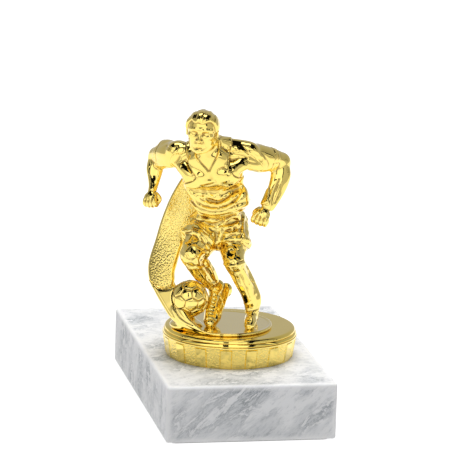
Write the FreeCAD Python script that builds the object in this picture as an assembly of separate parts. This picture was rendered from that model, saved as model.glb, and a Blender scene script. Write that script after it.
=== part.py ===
"""Figure trophy: a football player on a round riser, screwed to a marble block.

Row frame: origin at the centre of the underside, +Z up, +X to the right of the
narrow front face, the front face looking along -Y.  Millimetres.

Everything above the marble is clamped by one M5 screw that comes up through the
block into a threaded insert in the plinth, so the stack from below is: felt
sheet, block, washer, lock washer, screw, riser cup, disc cap, plinth, figure.
"""
import FreeCAD
import Part
import math
import os

V = FreeCAD.Vector

# ---------------------------------------------------------------- dimensions
BLOCK_W, BLOCK_D, BLOCK_H = 60.0, 110.0, 20.0   # marble block
BLOCK_EDGE_R = 1.0                              # polished edge radius
FELT_T, FELT_INSET = 0.6, 2.0                   # felt sheet under the block
AXIS_Y = -11.7                                  # screw axis, ahead of the block's centre
TURN_DEG = -11.63                               # the figure's heading about the screw axis

BORE_R = 3.25                                   # clearance hole for the M5 screw
CBORE_R, CBORE_H = 8.0, 8.5                     # counterbore from below
WASHER_R, WASHER_T = 7.5, 1.2
LOCK_R, LOCK_T, LOCK_BORE_R = 4.4, 1.2, 2.65
SCREW_R, SCREW_HEAD_R, SCREW_HEAD_H = 2.5, 4.4, 3.6
SCREW_REACH = 20.0                              # how far the shank stands above the washers

CUP_R_BOTTOM, CUP_R_TOP, CUP_H = 22.4, 23.6, 7.2
CUP_WALL, BEAD_R, BEAD_H = 1.5, 23.95, 0.9
PANELS, PANEL_DEG, PANEL_PROUD = 16, 9.8, 0.22  # smooth raised panels round the rim
CAP_R, CAP_TOP_R, CAP_H = 23.8, 23.1, 2.5
PLINTH_R, PLINTH_T = 17.0, 1.0
PLINTH_X, PLINTH_Y = -2.0, -1.5                 # plinth centre from the screw axis
PLUG_R = 6.0                                    # plug under the plinth
INSERT_R, INSERT_L = 3.5, 8.0

BALL_R = 6.8
BALL = V(-14.5, -6.4, 9.5)                      # ball's centre, in the figure's frame
BALL_GAP = 0.05                                 # between the ball and the boot
SPIGOT_R, SPIGOT_L = 1.8, 4.0                   # arm spigots

Z_BLOCK = FELT_T                                # underside of the block
Z_MARBLE = Z_BLOCK + BLOCK_H                    # top of the block
Z_CUP_TOP = Z_MARBLE + CUP_H + BEAD_H
Z_CAP_TOP = Z_CUP_TOP + CAP_H
Z_PLINTH = Z_CAP_TOP + PLINTH_T                 # what the figure stands on

OUT = "parts"
os.makedirs(OUT, exist_ok=True)


def save(name, shape):
    """Writes one node, and says how many solids it holds and their volume."""
    solids = shape.Solids
    comp = solids[0] if len(solids) == 1 else Part.makeCompound(solids)
    comp.exportStep(os.path.join(OUT, name + ".step"))
    print("%-20s %2d solid(s) %10.1f mm3 valid=%s" % (
        name, len(solids), sum(s.Volume for s in solids), comp.isValid()))


def cyl(r, h, x=0.0, y=AXIS_Y, z=0.0, d=V(0, 0, 1)):
    return Part.makeCylinder(r, h, V(x, y, z), d)


def to_row(shape):
    """From the figure's own frame (on the plinth top, at the screw axis) to the row frame."""
    s = shape.copy()
    s.rotate(V(0, 0, 0), V(0, 0, 1), TURN_DEG)
    s.translate(V(0, AXIS_Y, Z_PLINTH))
    return s


# ---------------------------------------------------------------- the block
block = Part.makeBox(BLOCK_W, BLOCK_D, BLOCK_H, V(-BLOCK_W / 2, -BLOCK_D / 2, Z_BLOCK))
block = block.makeFillet(BLOCK_EDGE_R, block.Edges)
block = block.cut(cyl(BORE_R, BLOCK_H + 2, z=Z_BLOCK - 1))
block = block.cut(cyl(CBORE_R, CBORE_H, z=Z_BLOCK))
save("marble_base", block)

felt = Part.makeBox(BLOCK_W - 2 * FELT_INSET, BLOCK_D - 2 * FELT_INSET, FELT_T,
                    V(-BLOCK_W / 2 + FELT_INSET, -BLOCK_D / 2 + FELT_INSET, 0))
corners = [e for e in felt.Edges if abs(e.Vertexes[0].Z - e.Vertexes[1].Z) > FELT_T / 2]
felt = felt.makeFillet(2.0, corners).cut(cyl(CBORE_R + 0.5, 3, z=-1))
save("felt_sheet", felt)

# ---------------------------------------------------------------- fixings
z_seat = Z_BLOCK + CBORE_H                      # roof of the counterbore
washer = cyl(WASHER_R, WASHER_T, z=z_seat - WASHER_T).cut(cyl(2.65, 5, z=z_seat - 3))
save("flat_washer", washer)

z_lock = z_seat - WASHER_T - LOCK_T
lock = cyl(LOCK_R, LOCK_T, z=z_lock).cut(cyl(LOCK_BORE_R, 5, z=z_lock - 1))
gap = Part.makeBox(4, 0.8, 4, V(LOCK_BORE_R - 1, AXIS_Y - 0.4, z_lock - 1))
save("lock_washer", lock.cut(gap))

z_head = z_lock - SCREW_HEAD_H
head = Part.makeCone(SCREW_HEAD_R - 0.9, SCREW_HEAD_R, 1.0, V(0, AXIS_Y, z_head))
head = head.fuse(cyl(SCREW_HEAD_R, SCREW_HEAD_H - 1.0, z=z_head + 1.0))
shank_l = (z_seat - z_lock) + SCREW_REACH
shank = cyl(SCREW_R, shank_l - 0.8, z=z_lock)
tip = Part.makeCone(SCREW_R, SCREW_R - 0.7, 0.8, V(0, AXIS_Y, z_lock + shank_l - 0.8))
screw = head.fuse([shank, tip])
for a in (0, 90):
    slot = Part.makeBox(5.2, 1.15, 2.0, V(-2.6, -0.575, 0))
    slot.rotate(V(0, 0, 0), V(0, 0, 1), a + 20)
    slot.translate(V(0, AXIS_Y, z_head - 0.1))
    screw = screw.cut(slot)
save("clamp_screw", screw.removeSplitter())

# ---------------------------------------------------------------- riser cup
def revolve(points):
    """A solid of revolution about the screw axis from (radius, z) corners."""
    pts = [V(r, AXIS_Y, z) for r, z in points]
    wire = Part.makePolygon(pts + [pts[0]])
    return Part.Face(wire).revolve(V(0, AXIS_Y, 0), V(0, 0, 1), 360)


zb, zt = Z_MARBLE, Z_MARBLE + CUP_H
cup = revolve([
    (CUP_R_BOTTOM, zb), (CUP_R_TOP, zt), (BEAD_R, zt + 0.15), (BEAD_R, zt + BEAD_H - 0.15),
    (BEAD_R - 0.4, zt + BEAD_H), (CUP_R_TOP - CUP_WALL - 0.3, zt + BEAD_H),
    (CUP_R_TOP - CUP_WALL - 0.3, zt - 1.0), (PLUG_R + 2.0, zt - 1.0),
    (PLUG_R + 2.0, zb + 0.0), (PLUG_R + 3.6, zb + 0.0), (PLUG_R + 3.6, zt - 2.6),
    (CUP_R_BOTTOM - CUP_WALL, zt - 2.6), (CUP_R_BOTTOM - CUP_WALL, zb)])
for k in range(6):
    rib = Part.makeBox(CUP_R_BOTTOM - CUP_WALL - PLUG_R - 3.0, 1.2, CUP_H - 3.0,
                       V(PLUG_R + 3.3, -0.6, zb + 0.6))
    rib.rotate(V(0, 0, 0), V(0, 0, 1), 60 * k + 15)
    rib.translate(V(0, AXIS_Y, 0))
    cup = cup.fuse(rib)
# Smooth panels stand proud of the stippled ground between them.
band = revolve([
    (CUP_R_BOTTOM - 0.2, zb + 0.1), (CUP_R_BOTTOM + PANEL_PROUD, zb + 0.1),
    (CUP_R_TOP + PANEL_PROUD - 0.05, zt - 0.15), (CUP_R_TOP - 0.2, zt - 0.15)])
half = math.radians(PANEL_DEG / 2)
wedges = []
for k in range(PANELS):
    a = math.radians(-90 - 2.6 + TURN_DEG + 360.0 * k / PANELS)
    p = [V(0, AXIS_Y, 0), V(40 * math.cos(a - half), AXIS_Y + 40 * math.sin(a - half), 0),
         V(40 * math.cos(a + half), AXIS_Y + 40 * math.sin(a + half), 0)]
    w = Part.Face(Part.makePolygon(p + [p[0]])).extrude(V(0, 0, 20))
    w.translate(V(0, 0, zb - 2))
    wedges.append(w)
panels = band.common(Part.makeCompound(wedges))
cup = cup.fuse(panels.Solids).removeSplitter()
save("riser_cup", cup)

# ---------------------------------------------------------------- disc cap
zc = Z_CUP_TOP
cap = revolve([
    (CAP_R - 0.25, zc), (CAP_R, zc + 0.3), (CAP_R, zc + CAP_H - 0.9),
    (CAP_R - 0.25, zc + CAP_H - 0.35), (CAP_TOP_R, zc + CAP_H), (PLUG_R + 0.05, zc + CAP_H),
    (PLUG_R + 0.05, zc + 0.6), (18.0, zc + 0.6), (18.0, zc - BEAD_H - 0.9),
    (CUP_R_TOP - CUP_WALL - 0.35, zc - BEAD_H - 0.9), (CUP_R_TOP - CUP_WALL - 0.35, zc)])
save("disc_cap", cap)

# ---------------------------------------------------------------- plinth
insert_z = Z_CAP_TOP - INSERT_L
insert = cyl(INSERT_R, INSERT_L, z=insert_z).cut(cyl(SCREW_R + 0.02, INSERT_L + 2, z=insert_z - 1))
for z in (insert_z + 2.2, insert_z + 5.2):
    insert = insert.cut(cyl(INSERT_R + 1, 0.7, z=z).cut(cyl(INSERT_R - 0.35, 0.7, z=z)))
save("thread_insert", insert)

plinth = Part.makeCylinder(PLINTH_R, PLINTH_T, V(PLINTH_X, PLINTH_Y, -PLINTH_T))
plinth = plinth.makeFillet(0.45, [e for e in plinth.Edges if e.Closed and e.BoundBox.ZMin > -0.01])
plug = Part.makeCylinder(PLUG_R, INSERT_L + 1.0, V(0, 0, -PLINTH_T - INSERT_L - 1.0 + 0.0))
plinth = plinth.fuse(plug)


# ---------------------------------------------------------------- figure helpers
def ring(c, direction, rx, ry, side=V(1, 0, 0), n=2.0):
    """A closed smooth wire round c, square to direction: rx along side, ry across it."""
    d = V(direction).normalize()
    u = side - d * side.dot(d)
    u.normalize()
    w = d.cross(u)
    pts = []
    for i in range(16):
        t = 2 * math.pi * i / 16
        ct, st = math.cos(t), math.sin(t)
        k = (abs(ct) ** n + abs(st) ** n) ** (-1.0 / n)
        pts.append(c + u * (rx * k * ct) + w * (ry * k * st))
    s = Part.BSplineCurve()
    s.interpolate(pts, PeriodicFlag=True)
    return Part.Wire(s.toShape())


def loft(rows, side=V(1, 0, 0), n=2.0):
    """A smooth solid through rings: each row is (x, y, z, rx, ry)."""
    c = [V(*r[:3]) for r in rows]
    wires = []
    for i, r in enumerate(rows):
        a, b = c[max(i - 1, 0)], c[min(i + 1, len(c) - 1)]
        wires.append(ring(c[i], b - a, r[3], r[4], side, n))
    return Part.makeLoft(wires, True, False)


def ball(c, r, sx=1.0, sy=1.0, sz=1.0, axis=None, deg=0.0):
    """A sphere, or an ellipsoid when it is scaled."""
    s = Part.makeSphere(r)
    if (sx, sy, sz) != (1.0, 1.0, 1.0):
        m = FreeCAD.Matrix()
        m.scale(sx, sy, sz)
        s = s.transformGeometry(m)
    if axis is not None:
        s.rotate(V(0, 0, 0), axis, deg)
    s.translate(V(*c))
    return s


# ---------------------------------------------------------------- player
# Two hollow mouldings, front and back, cemented along a parting line down the
# body's sides.  Each limb is a run of short lofts with a ball at its bend.
torso = loft([
    (-4.0, 5.0, 27.5, 6.5, 5.5), (-4.0, 5.0, 31.0, 10.6, 7.4), (-4.3, 4.0, 36.0, 10.6, 7.4),
    (-5.0, 1.5, 42.0, 9.8, 6.6), (-6.2, -1.8, 48.0, 10.2, 6.8), (-7.2, -4.4, 54.0, 11.0, 7.0),
    (-7.8, -6.0, 59.0, 9.6, 5.8), (-8.0, -7.0, 62.5, 5.0, 3.8)], n=2.3)
neck = loft([(-8.0, -6.0, 58.0, 4.2, 4.0), (-8.6, -8.4, 62.5, 3.4, 3.4), (-9.8, -10.6, 66.5, 3.2, 3.3)])
skull = ball((-11.6, -12.2, 71.9), 1.0, 6.1, 7.0, 6.9)
jaw = ball((-12.0, -13.9, 68.0), 1.0, 4.8, 5.4, 4.6)
shoulder_r = loft([(-11.0, -5.0, 58.6, 4.8, 4.8), (-15.5, -4.4, 60.2, 5.0, 4.9),
                   (-19.4, -2.8, 60.5, 4.8, 4.7), (-23.0, 0.8, 59.9, 4.5, 4.4),
                   (-27.2, 6.2, 58.7, 3.7, 3.7)], side=V(0, 0, 1))
shoulder_l = loft([(-4.5, -6.0, 58.6, 4.8, 4.8), (0.5, -5.2, 60.8, 5.0, 4.9),
                   (5.0, -3.5, 61.0, 4.9, 4.8), (9.8, -0.6, 60.0, 4.5, 4.4),
                   (15.2, 3.0, 58.4, 3.9, 3.9)], side=V(0, 0, 1))
thigh_r = loft([(-8.0, 4.6, 33.0, 5.4, 5.6), (-10.4, 0.6, 30.4, 5.7, 5.7), (-12.6, -3.6, 28.0, 5.1, 5.1),
                (-14.4, -7.0, 26.0, 4.3, 4.3)])
knee_r = ball((-14.5, -7.6, 25.4), 4.3)
shin_r = loft([(-14.6, -7.6, 25.0, 4.1, 4.2), (-13.4, -6.2, 21.6, 3.8, 4.0), (-11.0, -3.8, 18.0, 3.6, 3.9),
               (-8.2, -1.2, 14.4, 2.9, 3.1), (-5.8, 0.8, 11.4, 2.4, 2.5)])
thigh_l = loft([(0.4, 4.8, 32.6, 5.4, 5.6), (0.8, 0.6, 29.4, 5.7, 5.7), (0.8, -3.2, 26.4, 4.9, 5.0),
                (1.0, -6.4, 23.6, 4.2, 4.3)])
knee_l = ball((1.2, -6.9, 23.0), 4.1)
shin_l = loft([(1.4, -7.0, 22.6, 3.9, 4.1), (3.0, -5.8, 18.8, 3.9, 4.0), (5.0, -4.4, 14.0, 3.4, 3.8),
               (7.2, -3.2, 9.0, 3.3, 3.4), (7.8, -3.0, 4.2, 2.6, 2.6)])
hem_r = loft([(-7.6, 4.0, 33.0, 6.4, 6.8), (-10.6, -0.6, 30.0, 7.0, 7.2), (-12.6, -4.4, 28.2, 6.7, 6.7)])
hem_l = loft([(0.0, 4.4, 33.0, 6.4, 6.8), (1.0, 0.0, 29.6, 6.9, 7.3), (1.2, -3.6, 27.2, 6.6, 6.8)])
boot_r = loft([(-4.6, 2.6, 13.4, 2.3, 2.4), (-5.2, 1.2, 11.4, 2.7, 3.6), (-5.8, -2.0, 7.4, 2.7, 3.0),
               (-6.4, -5.2, 3.6, 2.7, 2.3), (-6.7, -7.2, 1.0, 2.0, 1.4)])
heel_r = ball((-1.6, 3.6, 10.6), 2.5)
boot_l = loft([(7.4, 0.4, 2.2, 2.2, 2.0), (7.4, -1.6, 2.5, 2.6, 2.6), (7.3, -4.6, 2.4, 2.6, 2.3),
               (7.2, -8.4, 1.7, 3.0, 1.7), (7.1, -11.6, 1.1, 1.8, 1.0)])

player = torso
for piece in (neck, skull, jaw, shoulder_r, shoulder_l, thigh_r, knee_r, shin_r, thigh_l, knee_l, shin_l,
              hem_r, hem_l, boot_r, heel_r, boot_l):
    player = player.fuse(piece)
player = player.cut(Part.makeBox(120, 120, 20, V(-60, -60, -20)))

# Trunk and head are hollow.
cavity = loft([
    (-4.1, 4.6, 32.5, 8.0, 5.2), (-4.4, 3.9, 36.0, 9.0, 5.8),
    (-5.0, 1.5, 42.0, 8.2, 5.0), (-6.2, -1.8, 48.0, 8.6, 5.2), (-7.2, -4.4, 54.0, 9.2, 5.2),
    (-7.7, -5.8, 57.5, 8.0, 4.2)], n=2.3)
hollow_head = ball((-11.6, -12.2, 71.9), 1.0, 4.4, 5.2, 5.1)
player = player.cut(cavity).cut(hollow_head)
print("player", player.isValid(), len(player.Solids), round(player.Volume, 1))

# The parting surface follows the body's lean, and runs straight across it.
profile = [(-5.0, -2.0), (-3.4, 4.0), (-1.5, 11.0), (-6.0, 19.0), (-6.6, 24.0), (1.0, 31.0), (3.0, 37.0),
           (1.5, 42.0), (-1.8, 48.0), (-4.4, 54.0), (-6.8, 60.0), (-9.6, 66.0), (-12.2, 72.0), (-12.6, 84.0)]
line = Part.BSplineCurve()
line.interpolate([V(-60, y, z) for y, z in profile])
low, high = line.value(line.FirstParameter), line.value(line.LastParameter)
outline = Part.Wire([line.toShape(), Part.makeLine(high, V(-60, -60, 84)),
                     Part.makeLine(V(-60, -60, 84), V(-60, -60, -2)), Part.makeLine(V(-60, -60, -2), low)])
ahead = Part.Face(outline).extrude(V(120, 0, 0))
front = player.common(ahead)
back = player.cut(ahead)

# The shin and boot clear the ball.
room = Part.makeSphere(BALL_R + BALL_GAP, BALL)
front = front.cut(room)
back = back.cut(room)

# Pegs under the soles, and their holes in the plinth.
PEGS = [(7.2, -7.6, 1.1), (-6.5, -6.6, 0.8)]
for x, y, r in PEGS:
    front = front.fuse(Part.makeCylinder(r, PLINTH_T - 0.2 + 1.2, V(x, y, -PLINTH_T + 0.2)))
    plinth = plinth.cut(Part.makeCylinder(r + 0.03, 3, V(x, y, -PLINTH_T + 0.17)))


# ---------------------------------------------------------------- arms
def square_to(direction):
    return FreeCAD.Rotation(V(0, 0, 1), V(*direction).normalize())


def slab(joint, direction, size, z0, h):
    """A square block standing on an arm joint's plane, from z0 to z0 + h along the arm."""
    box = Part.makeBox(size, size, h, V(-size / 2, -size / 2, z0))
    box.Placement = FreeCAD.Placement(V(*joint), square_to(direction))
    return box


def pin(joint, direction, r, back_l, fwd_l):
    d = V(*direction).normalize()
    return Part.makeCylinder(r, back_l + fwd_l, V(*joint) - d * back_l, d)


elbow_r = ball((-27.9, 7.4, 57.6), 3.5)
fore_r = loft([(-28.0, 7.2, 57.0, 3.3, 3.2), (-28.2, 5.6, 54.0, 3.0, 3.0), (-28.2, 3.4, 51.0, 2.6, 2.6),
               (-28.5, 1.0, 48.4, 2.1, 2.1), (-28.9, -1.0, 46.0, 2.0, 2.0)])
fist_r = ball((-29.1, -2.0, 44.6), 1.0, 3.1, 3.0, 3.6)
elbow_l = ball((16.2, 4.0, 57.4), 3.8)
fore_l = loft([(16.3, 3.6, 56.8, 3.5, 3.6), (16.3, 2.4, 53.6, 3.4, 3.5), (15.2, 0.4, 50.0, 3.2, 3.2),
               (13.2, -1.9, 46.4, 2.7, 2.7), (11.2, -4.2, 42.8, 2.2, 2.2)])
fist_l = ball((10.0, -5.4, 40.6), 1.0, 3.7, 3.1, 3.4)

# Elbow, forearm and fist are one moulding, which plugs into a socket in the
# upper arm; the shallow ring round each arm is that joint.
ARMS = [("right_arm", (-25.2, 4.8, 59.8), (-3.3, 4.0, -0.8), shoulder_r, elbow_r, fore_r, fist_r),
        ("left_arm", (12.9, 1.2, 59.6), (4.6, 3.3, -1.1), shoulder_l, elbow_l, fore_l, fist_l)]
for name, joint, direction, upper, elbow, fore, fist in ARMS:
    stub = upper.common(slab(joint, direction, 16, 0.0, 3.4))
    limb = stub.fuse(elbow).fuse(fore).cut(slab(joint, direction, 14, -6.0, 6.0)).fuse(fist)
    limb = limb.fuse(pin(joint, direction, SPIGOT_R, SPIGOT_L, 2.0))
    save(name, to_row(limb))
    past = slab(joint, direction, 12, 0.0, 9.0)
    socket = pin(joint, direction, SPIGOT_R + 0.04, SPIGOT_L + 0.3, 0.0)
    front = front.cut(past).cut(socket)
    back = back.cut(past).cut(socket)

save("player_front", to_row(front))
save("player_back", to_row(back))

# ---------------------------------------------------------------- ball and trail
football = Part.makeSphere(BALL_R, BALL)
# The ball's motion trail sweeps up behind the player, from the cradle that holds the ball.
trail = loft([
    (-10.0, 10.4, 55.0, 1.4, 0.7), (-13.0, 10.8, 49.0, 3.6, 0.9), (-17.4, 10.4, 42.0, 4.8, 1.0),
    (-22.0, 8.4, 34.0, 5.4, 1.1), (-25.6, 4.6, 26.0, 5.4, 1.1), (-26.4, 0.6, 19.6, 5.0, 1.2),
    (-24.6, -2.6, 13.6, 4.6, 1.5), (-21.0, -4.6, 7.0, 4.6, 1.9), (-17.4, -5.6, 2.0, 4.6, 2.2),
    (-16.0, -5.8, -0.4, 4.8, 2.4)])
foot = ball((-14.2, -5.6, 0.0), 1.0, 5.6, 5.2, 3.6)
trail = trail.fuse(foot).cut(Part.makeBox(120, 120, 20, V(-60, -60, -20 - PLINTH_T / 2)))
plinth = plinth.fuse(trail)
plinth = plinth.cut(Part.makeSphere(BALL_R, BALL))
peg_d = V(-0.55, 0.0, -0.84).normalize()
football = football.fuse(Part.makeCylinder(1.2, BALL_R + 1.4, BALL, peg_d)).removeSplitter()
plinth = plinth.cut(Part.makeCylinder(1.23, BALL_R + 1.5, BALL, peg_d))
print("plinth", plinth.isValid(), len(plinth.Solids))
save("football", to_row(football))

hole = Part.makeCylinder(INSERT_R, INSERT_L, V(0, 0, -PLINTH_T - INSERT_L))
plinth = plinth.cut(hole)
plinth = plinth.cut(Part.makeCylinder(INSERT_R, 2.0, V(0, 0, -PLINTH_T - INSERT_L - 1.5)))
save("plinth_and_trail", to_row(plinth))
print("plinth top z", Z_PLINTH, "screw tip", z_lock + shank_l, "insert", insert_z)
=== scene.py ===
"""Looks of the figure trophy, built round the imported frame.

The player, the ball and the motion trail are modelled as signed distances on a grid, in
millimetres, in the figure's own frame: origin on the plinth's top at the screw axis, X to
the right of the player as seen from the front, Y away from the viewer, Z up.
"""
import math

import bpy
import numpy as np
from mathutils import Matrix, Vector


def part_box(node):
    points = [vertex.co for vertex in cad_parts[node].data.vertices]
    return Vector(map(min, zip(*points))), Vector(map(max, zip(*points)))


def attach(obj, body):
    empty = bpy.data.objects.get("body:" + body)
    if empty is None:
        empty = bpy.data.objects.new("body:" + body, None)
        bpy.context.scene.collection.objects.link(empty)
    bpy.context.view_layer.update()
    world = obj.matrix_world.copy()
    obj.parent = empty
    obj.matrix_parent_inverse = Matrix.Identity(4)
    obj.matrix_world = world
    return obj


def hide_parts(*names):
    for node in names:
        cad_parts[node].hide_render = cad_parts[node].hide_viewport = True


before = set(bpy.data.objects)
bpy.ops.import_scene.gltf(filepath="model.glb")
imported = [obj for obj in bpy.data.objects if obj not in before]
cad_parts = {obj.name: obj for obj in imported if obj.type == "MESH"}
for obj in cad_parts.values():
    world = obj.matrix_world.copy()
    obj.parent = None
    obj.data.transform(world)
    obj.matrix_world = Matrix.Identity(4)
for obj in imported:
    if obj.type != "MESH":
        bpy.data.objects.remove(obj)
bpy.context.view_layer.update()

# figure frame -> row frame
TURN = math.radians(-11.63)
AXIS_Y, Z_PLINTH = -11.7, 32.2
TO_ROW = Matrix.Translation((0, AXIS_Y / 1000, Z_PLINTH / 1000)) @ Matrix.Rotation(TURN, 4, "Z") @ Matrix.Scale(0.001, 4)

# === sculpt begins
# ---------------------------------------------------------------- distance-field clay
F = np.float32


def smin(a, b, k):
    if k <= 0:
        return np.minimum(a, b)
    h = np.clip(0.5 + 0.5 * (b - a) / k, 0, 1)
    return b + (a - b) * h - k * h * (1 - h)


def smax(a, b, k):
    return -smin(-a, -b, k)


def spline(rows, n=5):
    """Catmull-Rom through the rows, every column alike."""
    p = np.array(rows, float)
    if len(p) < 3:
        t = np.linspace(0, 1, n + 1)[:, None]
        return p[0] * (1 - t) + p[-1] * t
    q = np.vstack([2 * p[0] - p[1], p, 2 * p[-1] - p[-2]])
    out = []
    for i in range(1, len(q) - 2):
        a, b, c, d = q[i - 1], q[i], q[i + 1], q[i + 2]
        for j in range(n):
            t = j / n
            out.append(0.5 * (2 * b + (c - a) * t + (2 * a - 5 * b + 4 * c - d) * t * t + (3 * b - a - 3 * c + d) * t ** 3))
    out.append(p[-1])
    return np.array(out)


class Clay:
    def __init__(self, lo, hi, h):
        self.lo, self.h = np.array(lo, float), h
        self.n = np.ceil((np.array(hi, float) - self.lo) / h).astype(int) + 1
        self.ax = [(self.lo[i] + h * np.arange(self.n[i])).astype(F) for i in range(3)]
        self.d = np.full(self.n, 6.0, F)

    def ax_hi(self):
        return self.lo + self.h * (self.n - 1)

    def win(self, lo, hi, m=0.0):
        s = []
        for i in range(3):
            a = int(math.floor((lo[i] - m - self.lo[i]) / self.h))
            b = int(math.ceil((hi[i] + m - self.lo[i]) / self.h)) + 1
            s.append(slice(max(0, min(a, self.n[i] - 1)), max(1, min(b, self.n[i]))))
        return tuple(s)

    def xyz(self, w):
        return (self.ax[0][w[0]][:, None, None], self.ax[1][w[1]][None, :, None], self.ax[2][w[2]][None, None, :])

    # -- primitives: each gives a window and the distances in it
    def ell(self, c, r, frame_=None, m=1.6):
        R = np.eye(3) if frame_ is None else np.array(frame_, float)
        ext = np.sqrt(((R * np.array(r, float)[:, None]) ** 2).sum(0))
        w = self.win(np.array(c) - ext, np.array(c) + ext, m)
        X, Y, Z = self.xyz(w)
        x, y, z = X - F(c[0]), Y - F(c[1]), Z - F(c[2])
        k0 = k1 = F(0)
        for i in range(3):
            q = (x * F(R[i, 0]) + y * F(R[i, 1]) + z * F(R[i, 2])) / F(r[i])
            k0 = k0 + q * q
            k1 = k1 + q * q / F(r[i] ** 2)
        k0, k1 = np.sqrt(k0), np.sqrt(k1)
        return w, (k0 * (k0 - 1) / np.maximum(k1, F(1e-4))).astype(F)

    def tube(self, rows, n=12, m=1.6):
        """A swept ball: rows of (x, y, z, r)."""
        p = spline(rows, n)
        lo, hi = (p[:, :3] - p[:, 3:]).min(0), (p[:, :3] + p[:, 3:]).max(0)
        w = self.win(lo, hi, m)
        d = np.full([s.stop - s.start for s in w], 6.0, F)
        for a, b in zip(p[:-1], p[1:]):
            r = max(a[3], b[3])
            v = self.win(np.minimum(a[:3], b[:3]) - r, np.maximum(a[:3], b[:3]) + r, m)
            v = tuple(slice(max(v[i].start, w[i].start), min(v[i].stop, w[i].stop)) for i in range(3))
            X, Y, Z = self.xyz(v)
            ab = (b - a)[:3]
            L = max(float(ab @ ab), 1e-6)
            x, y, z = X - F(a[0]), Y - F(a[1]), Z - F(a[2])
            t = np.clip((x * F(ab[0]) + y * F(ab[1]) + z * F(ab[2])) / F(L), 0, 1)
            e = np.sqrt((x - t * F(ab[0])) ** 2 + (y - t * F(ab[1])) ** 2 + (z - t * F(ab[2])) ** 2) - (F(a[3]) + t * F(b[3] - a[3]))
            o = tuple(slice(v[i].start - w[i].start, v[i].stop - w[i].start) for i in range(3))
            d[o] = np.minimum(d[o], e)
        return w, d

    def strip(self, edge, width, thick, ahead=(0.0, -1.0, 0.05), n=14, m=1.8):
        """A sheet that starts at an edge line and reaches width across, square to ahead as nearly as the line lets it be."""
        e = spline([tuple(p) + (w_, t_) for p, w_, t_ in zip(edge, width, thick)], n)
        E, W, H = e[:, :3], e[:, 3] / 2, e[:, 4]
        T = np.gradient(E, axis=0)
        T /= np.linalg.norm(T, axis=1)[:, None]
        A = np.array(ahead) / np.linalg.norm(ahead)
        N = A - T * (T @ A)[:, None]
        N /= np.linalg.norm(N, axis=1)[:, None]
        S = np.cross(N, T)
        S *= np.where(S[:, :1] < 0, -1, 1)
        C = E + S * W[:, None]
        r = (W + H).max()
        w = self.win(C.min(0) - r, C.max(0) + r, m)
        d = np.full([s.stop - s.start for s in w], 6.0, F)
        for i in range(len(C) - 1):
            a, b = C[i], C[i + 1]
            v = self.win(np.minimum(a, b) - W[i] - H[i], np.maximum(a, b) + W[i] + H[i], m)
            v = tuple(slice(max(v[j].start, w[j].start), min(v[j].stop, w[j].stop)) for j in range(3))
            X, Y, Z = self.xyz(v)
            ab = b - a
            x, y, z = X - F(a[0]), Y - F(a[1]), Z - F(a[2])
            t = (x * F(ab[0]) + y * F(ab[1]) + z * F(ab[2])) / F(ab @ ab)
            over = (t - np.clip(t, 0, 1)) * F(np.linalg.norm(ab))
            t = np.clip(t, 0, 1)
            px, py, pz = x - t * F(ab[0]), y - t * F(ab[1]), z - t * F(ab[2])
            s_ = S[i]
            n_ = N[i]
            u = px * F(s_[0]) + py * F(s_[1]) + pz * F(s_[2])
            q = px * F(n_[0]) + py * F(n_[1]) + pz * F(n_[2])
            hw, ht = F(W[i]) + t * F(W[i + 1] - W[i]), F(H[i]) + t * F(H[i + 1] - H[i])
            k = np.maximum(np.abs(u) - (hw - ht), 0)
            dd = np.sqrt(k * k + q * q + over * over) - ht
            o = tuple(slice(v[j].start - w[j].start, v[j].stop - w[j].start) for j in range(3))
            d[o] = np.minimum(d[o], dd)
        return w, d

    # -- operations
    def add(self, wd, k=0.6):
        w, d = wd
        self.d[w] = smin(self.d[w], d, k)
        return self

    def cut(self, wd, k=0.2):
        w, d = wd
        self.d[w] = smax(self.d[w], -d, k)
        return self

    def line(self, pts, width, amp, n=7):
        """A ridge (amp above 0) or a groove along points that lie on the surface; a 4th column scales it."""
        p = np.array([tuple(q) + (1.0,) if len(q) == 3 else tuple(q) for q in pts], float)
        p = spline(p, n)
        m = 2.6 * width
        w = self.win(p[:, :3].min(0), p[:, :3].max(0), m)
        shape = [s.stop - s.start for s in w]
        best = np.full(shape, 99.0, F)
        scale = np.ones(shape, F)
        for a, b in zip(p[:-1], p[1:]):
            v = self.win(np.minimum(a[:3], b[:3]), np.maximum(a[:3], b[:3]), m)
            v = tuple(slice(max(v[i].start, w[i].start), min(v[i].stop, w[i].stop)) for i in range(3))
            X, Y, Z = self.xyz(v)
            ab = (b - a)[:3]
            L = max(float(ab @ ab), 1e-6)
            x, y, z = X - F(a[0]), Y - F(a[1]), Z - F(a[2])
            t = np.clip((x * F(ab[0]) + y * F(ab[1]) + z * F(ab[2])) / F(L), 0, 1)
            e = (x - t * F(ab[0])) ** 2 + (y - t * F(ab[1])) ** 2 + (z - t * F(ab[2])) ** 2
            o = tuple(slice(v[i].start - w[i].start, v[i].stop - w[i].start) for i in range(3))
            near = e < best[o]
            best[o] = np.where(near, e, best[o])
            scale[o] = np.where(near, F(a[3]) + t * F(b[3] - a[3]), scale[o])
        self.d[w] -= F(amp) * scale * np.exp(-best / F(width * width))
        return self

    def blur(self, rounds=1):
        D = self.d
        for _ in range(rounds):
            for axis in range(3):
                m, a, b = [slice(None)] * 3, [slice(None)] * 3, [slice(None)] * 3
                m[axis], a[axis], b[axis] = slice(1, -1), slice(0, -2), slice(2, None)
                D[tuple(m)] = F(0.5) * D[tuple(m)] + F(0.25) * (D[tuple(a)] + D[tuple(b)])
        return self

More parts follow.
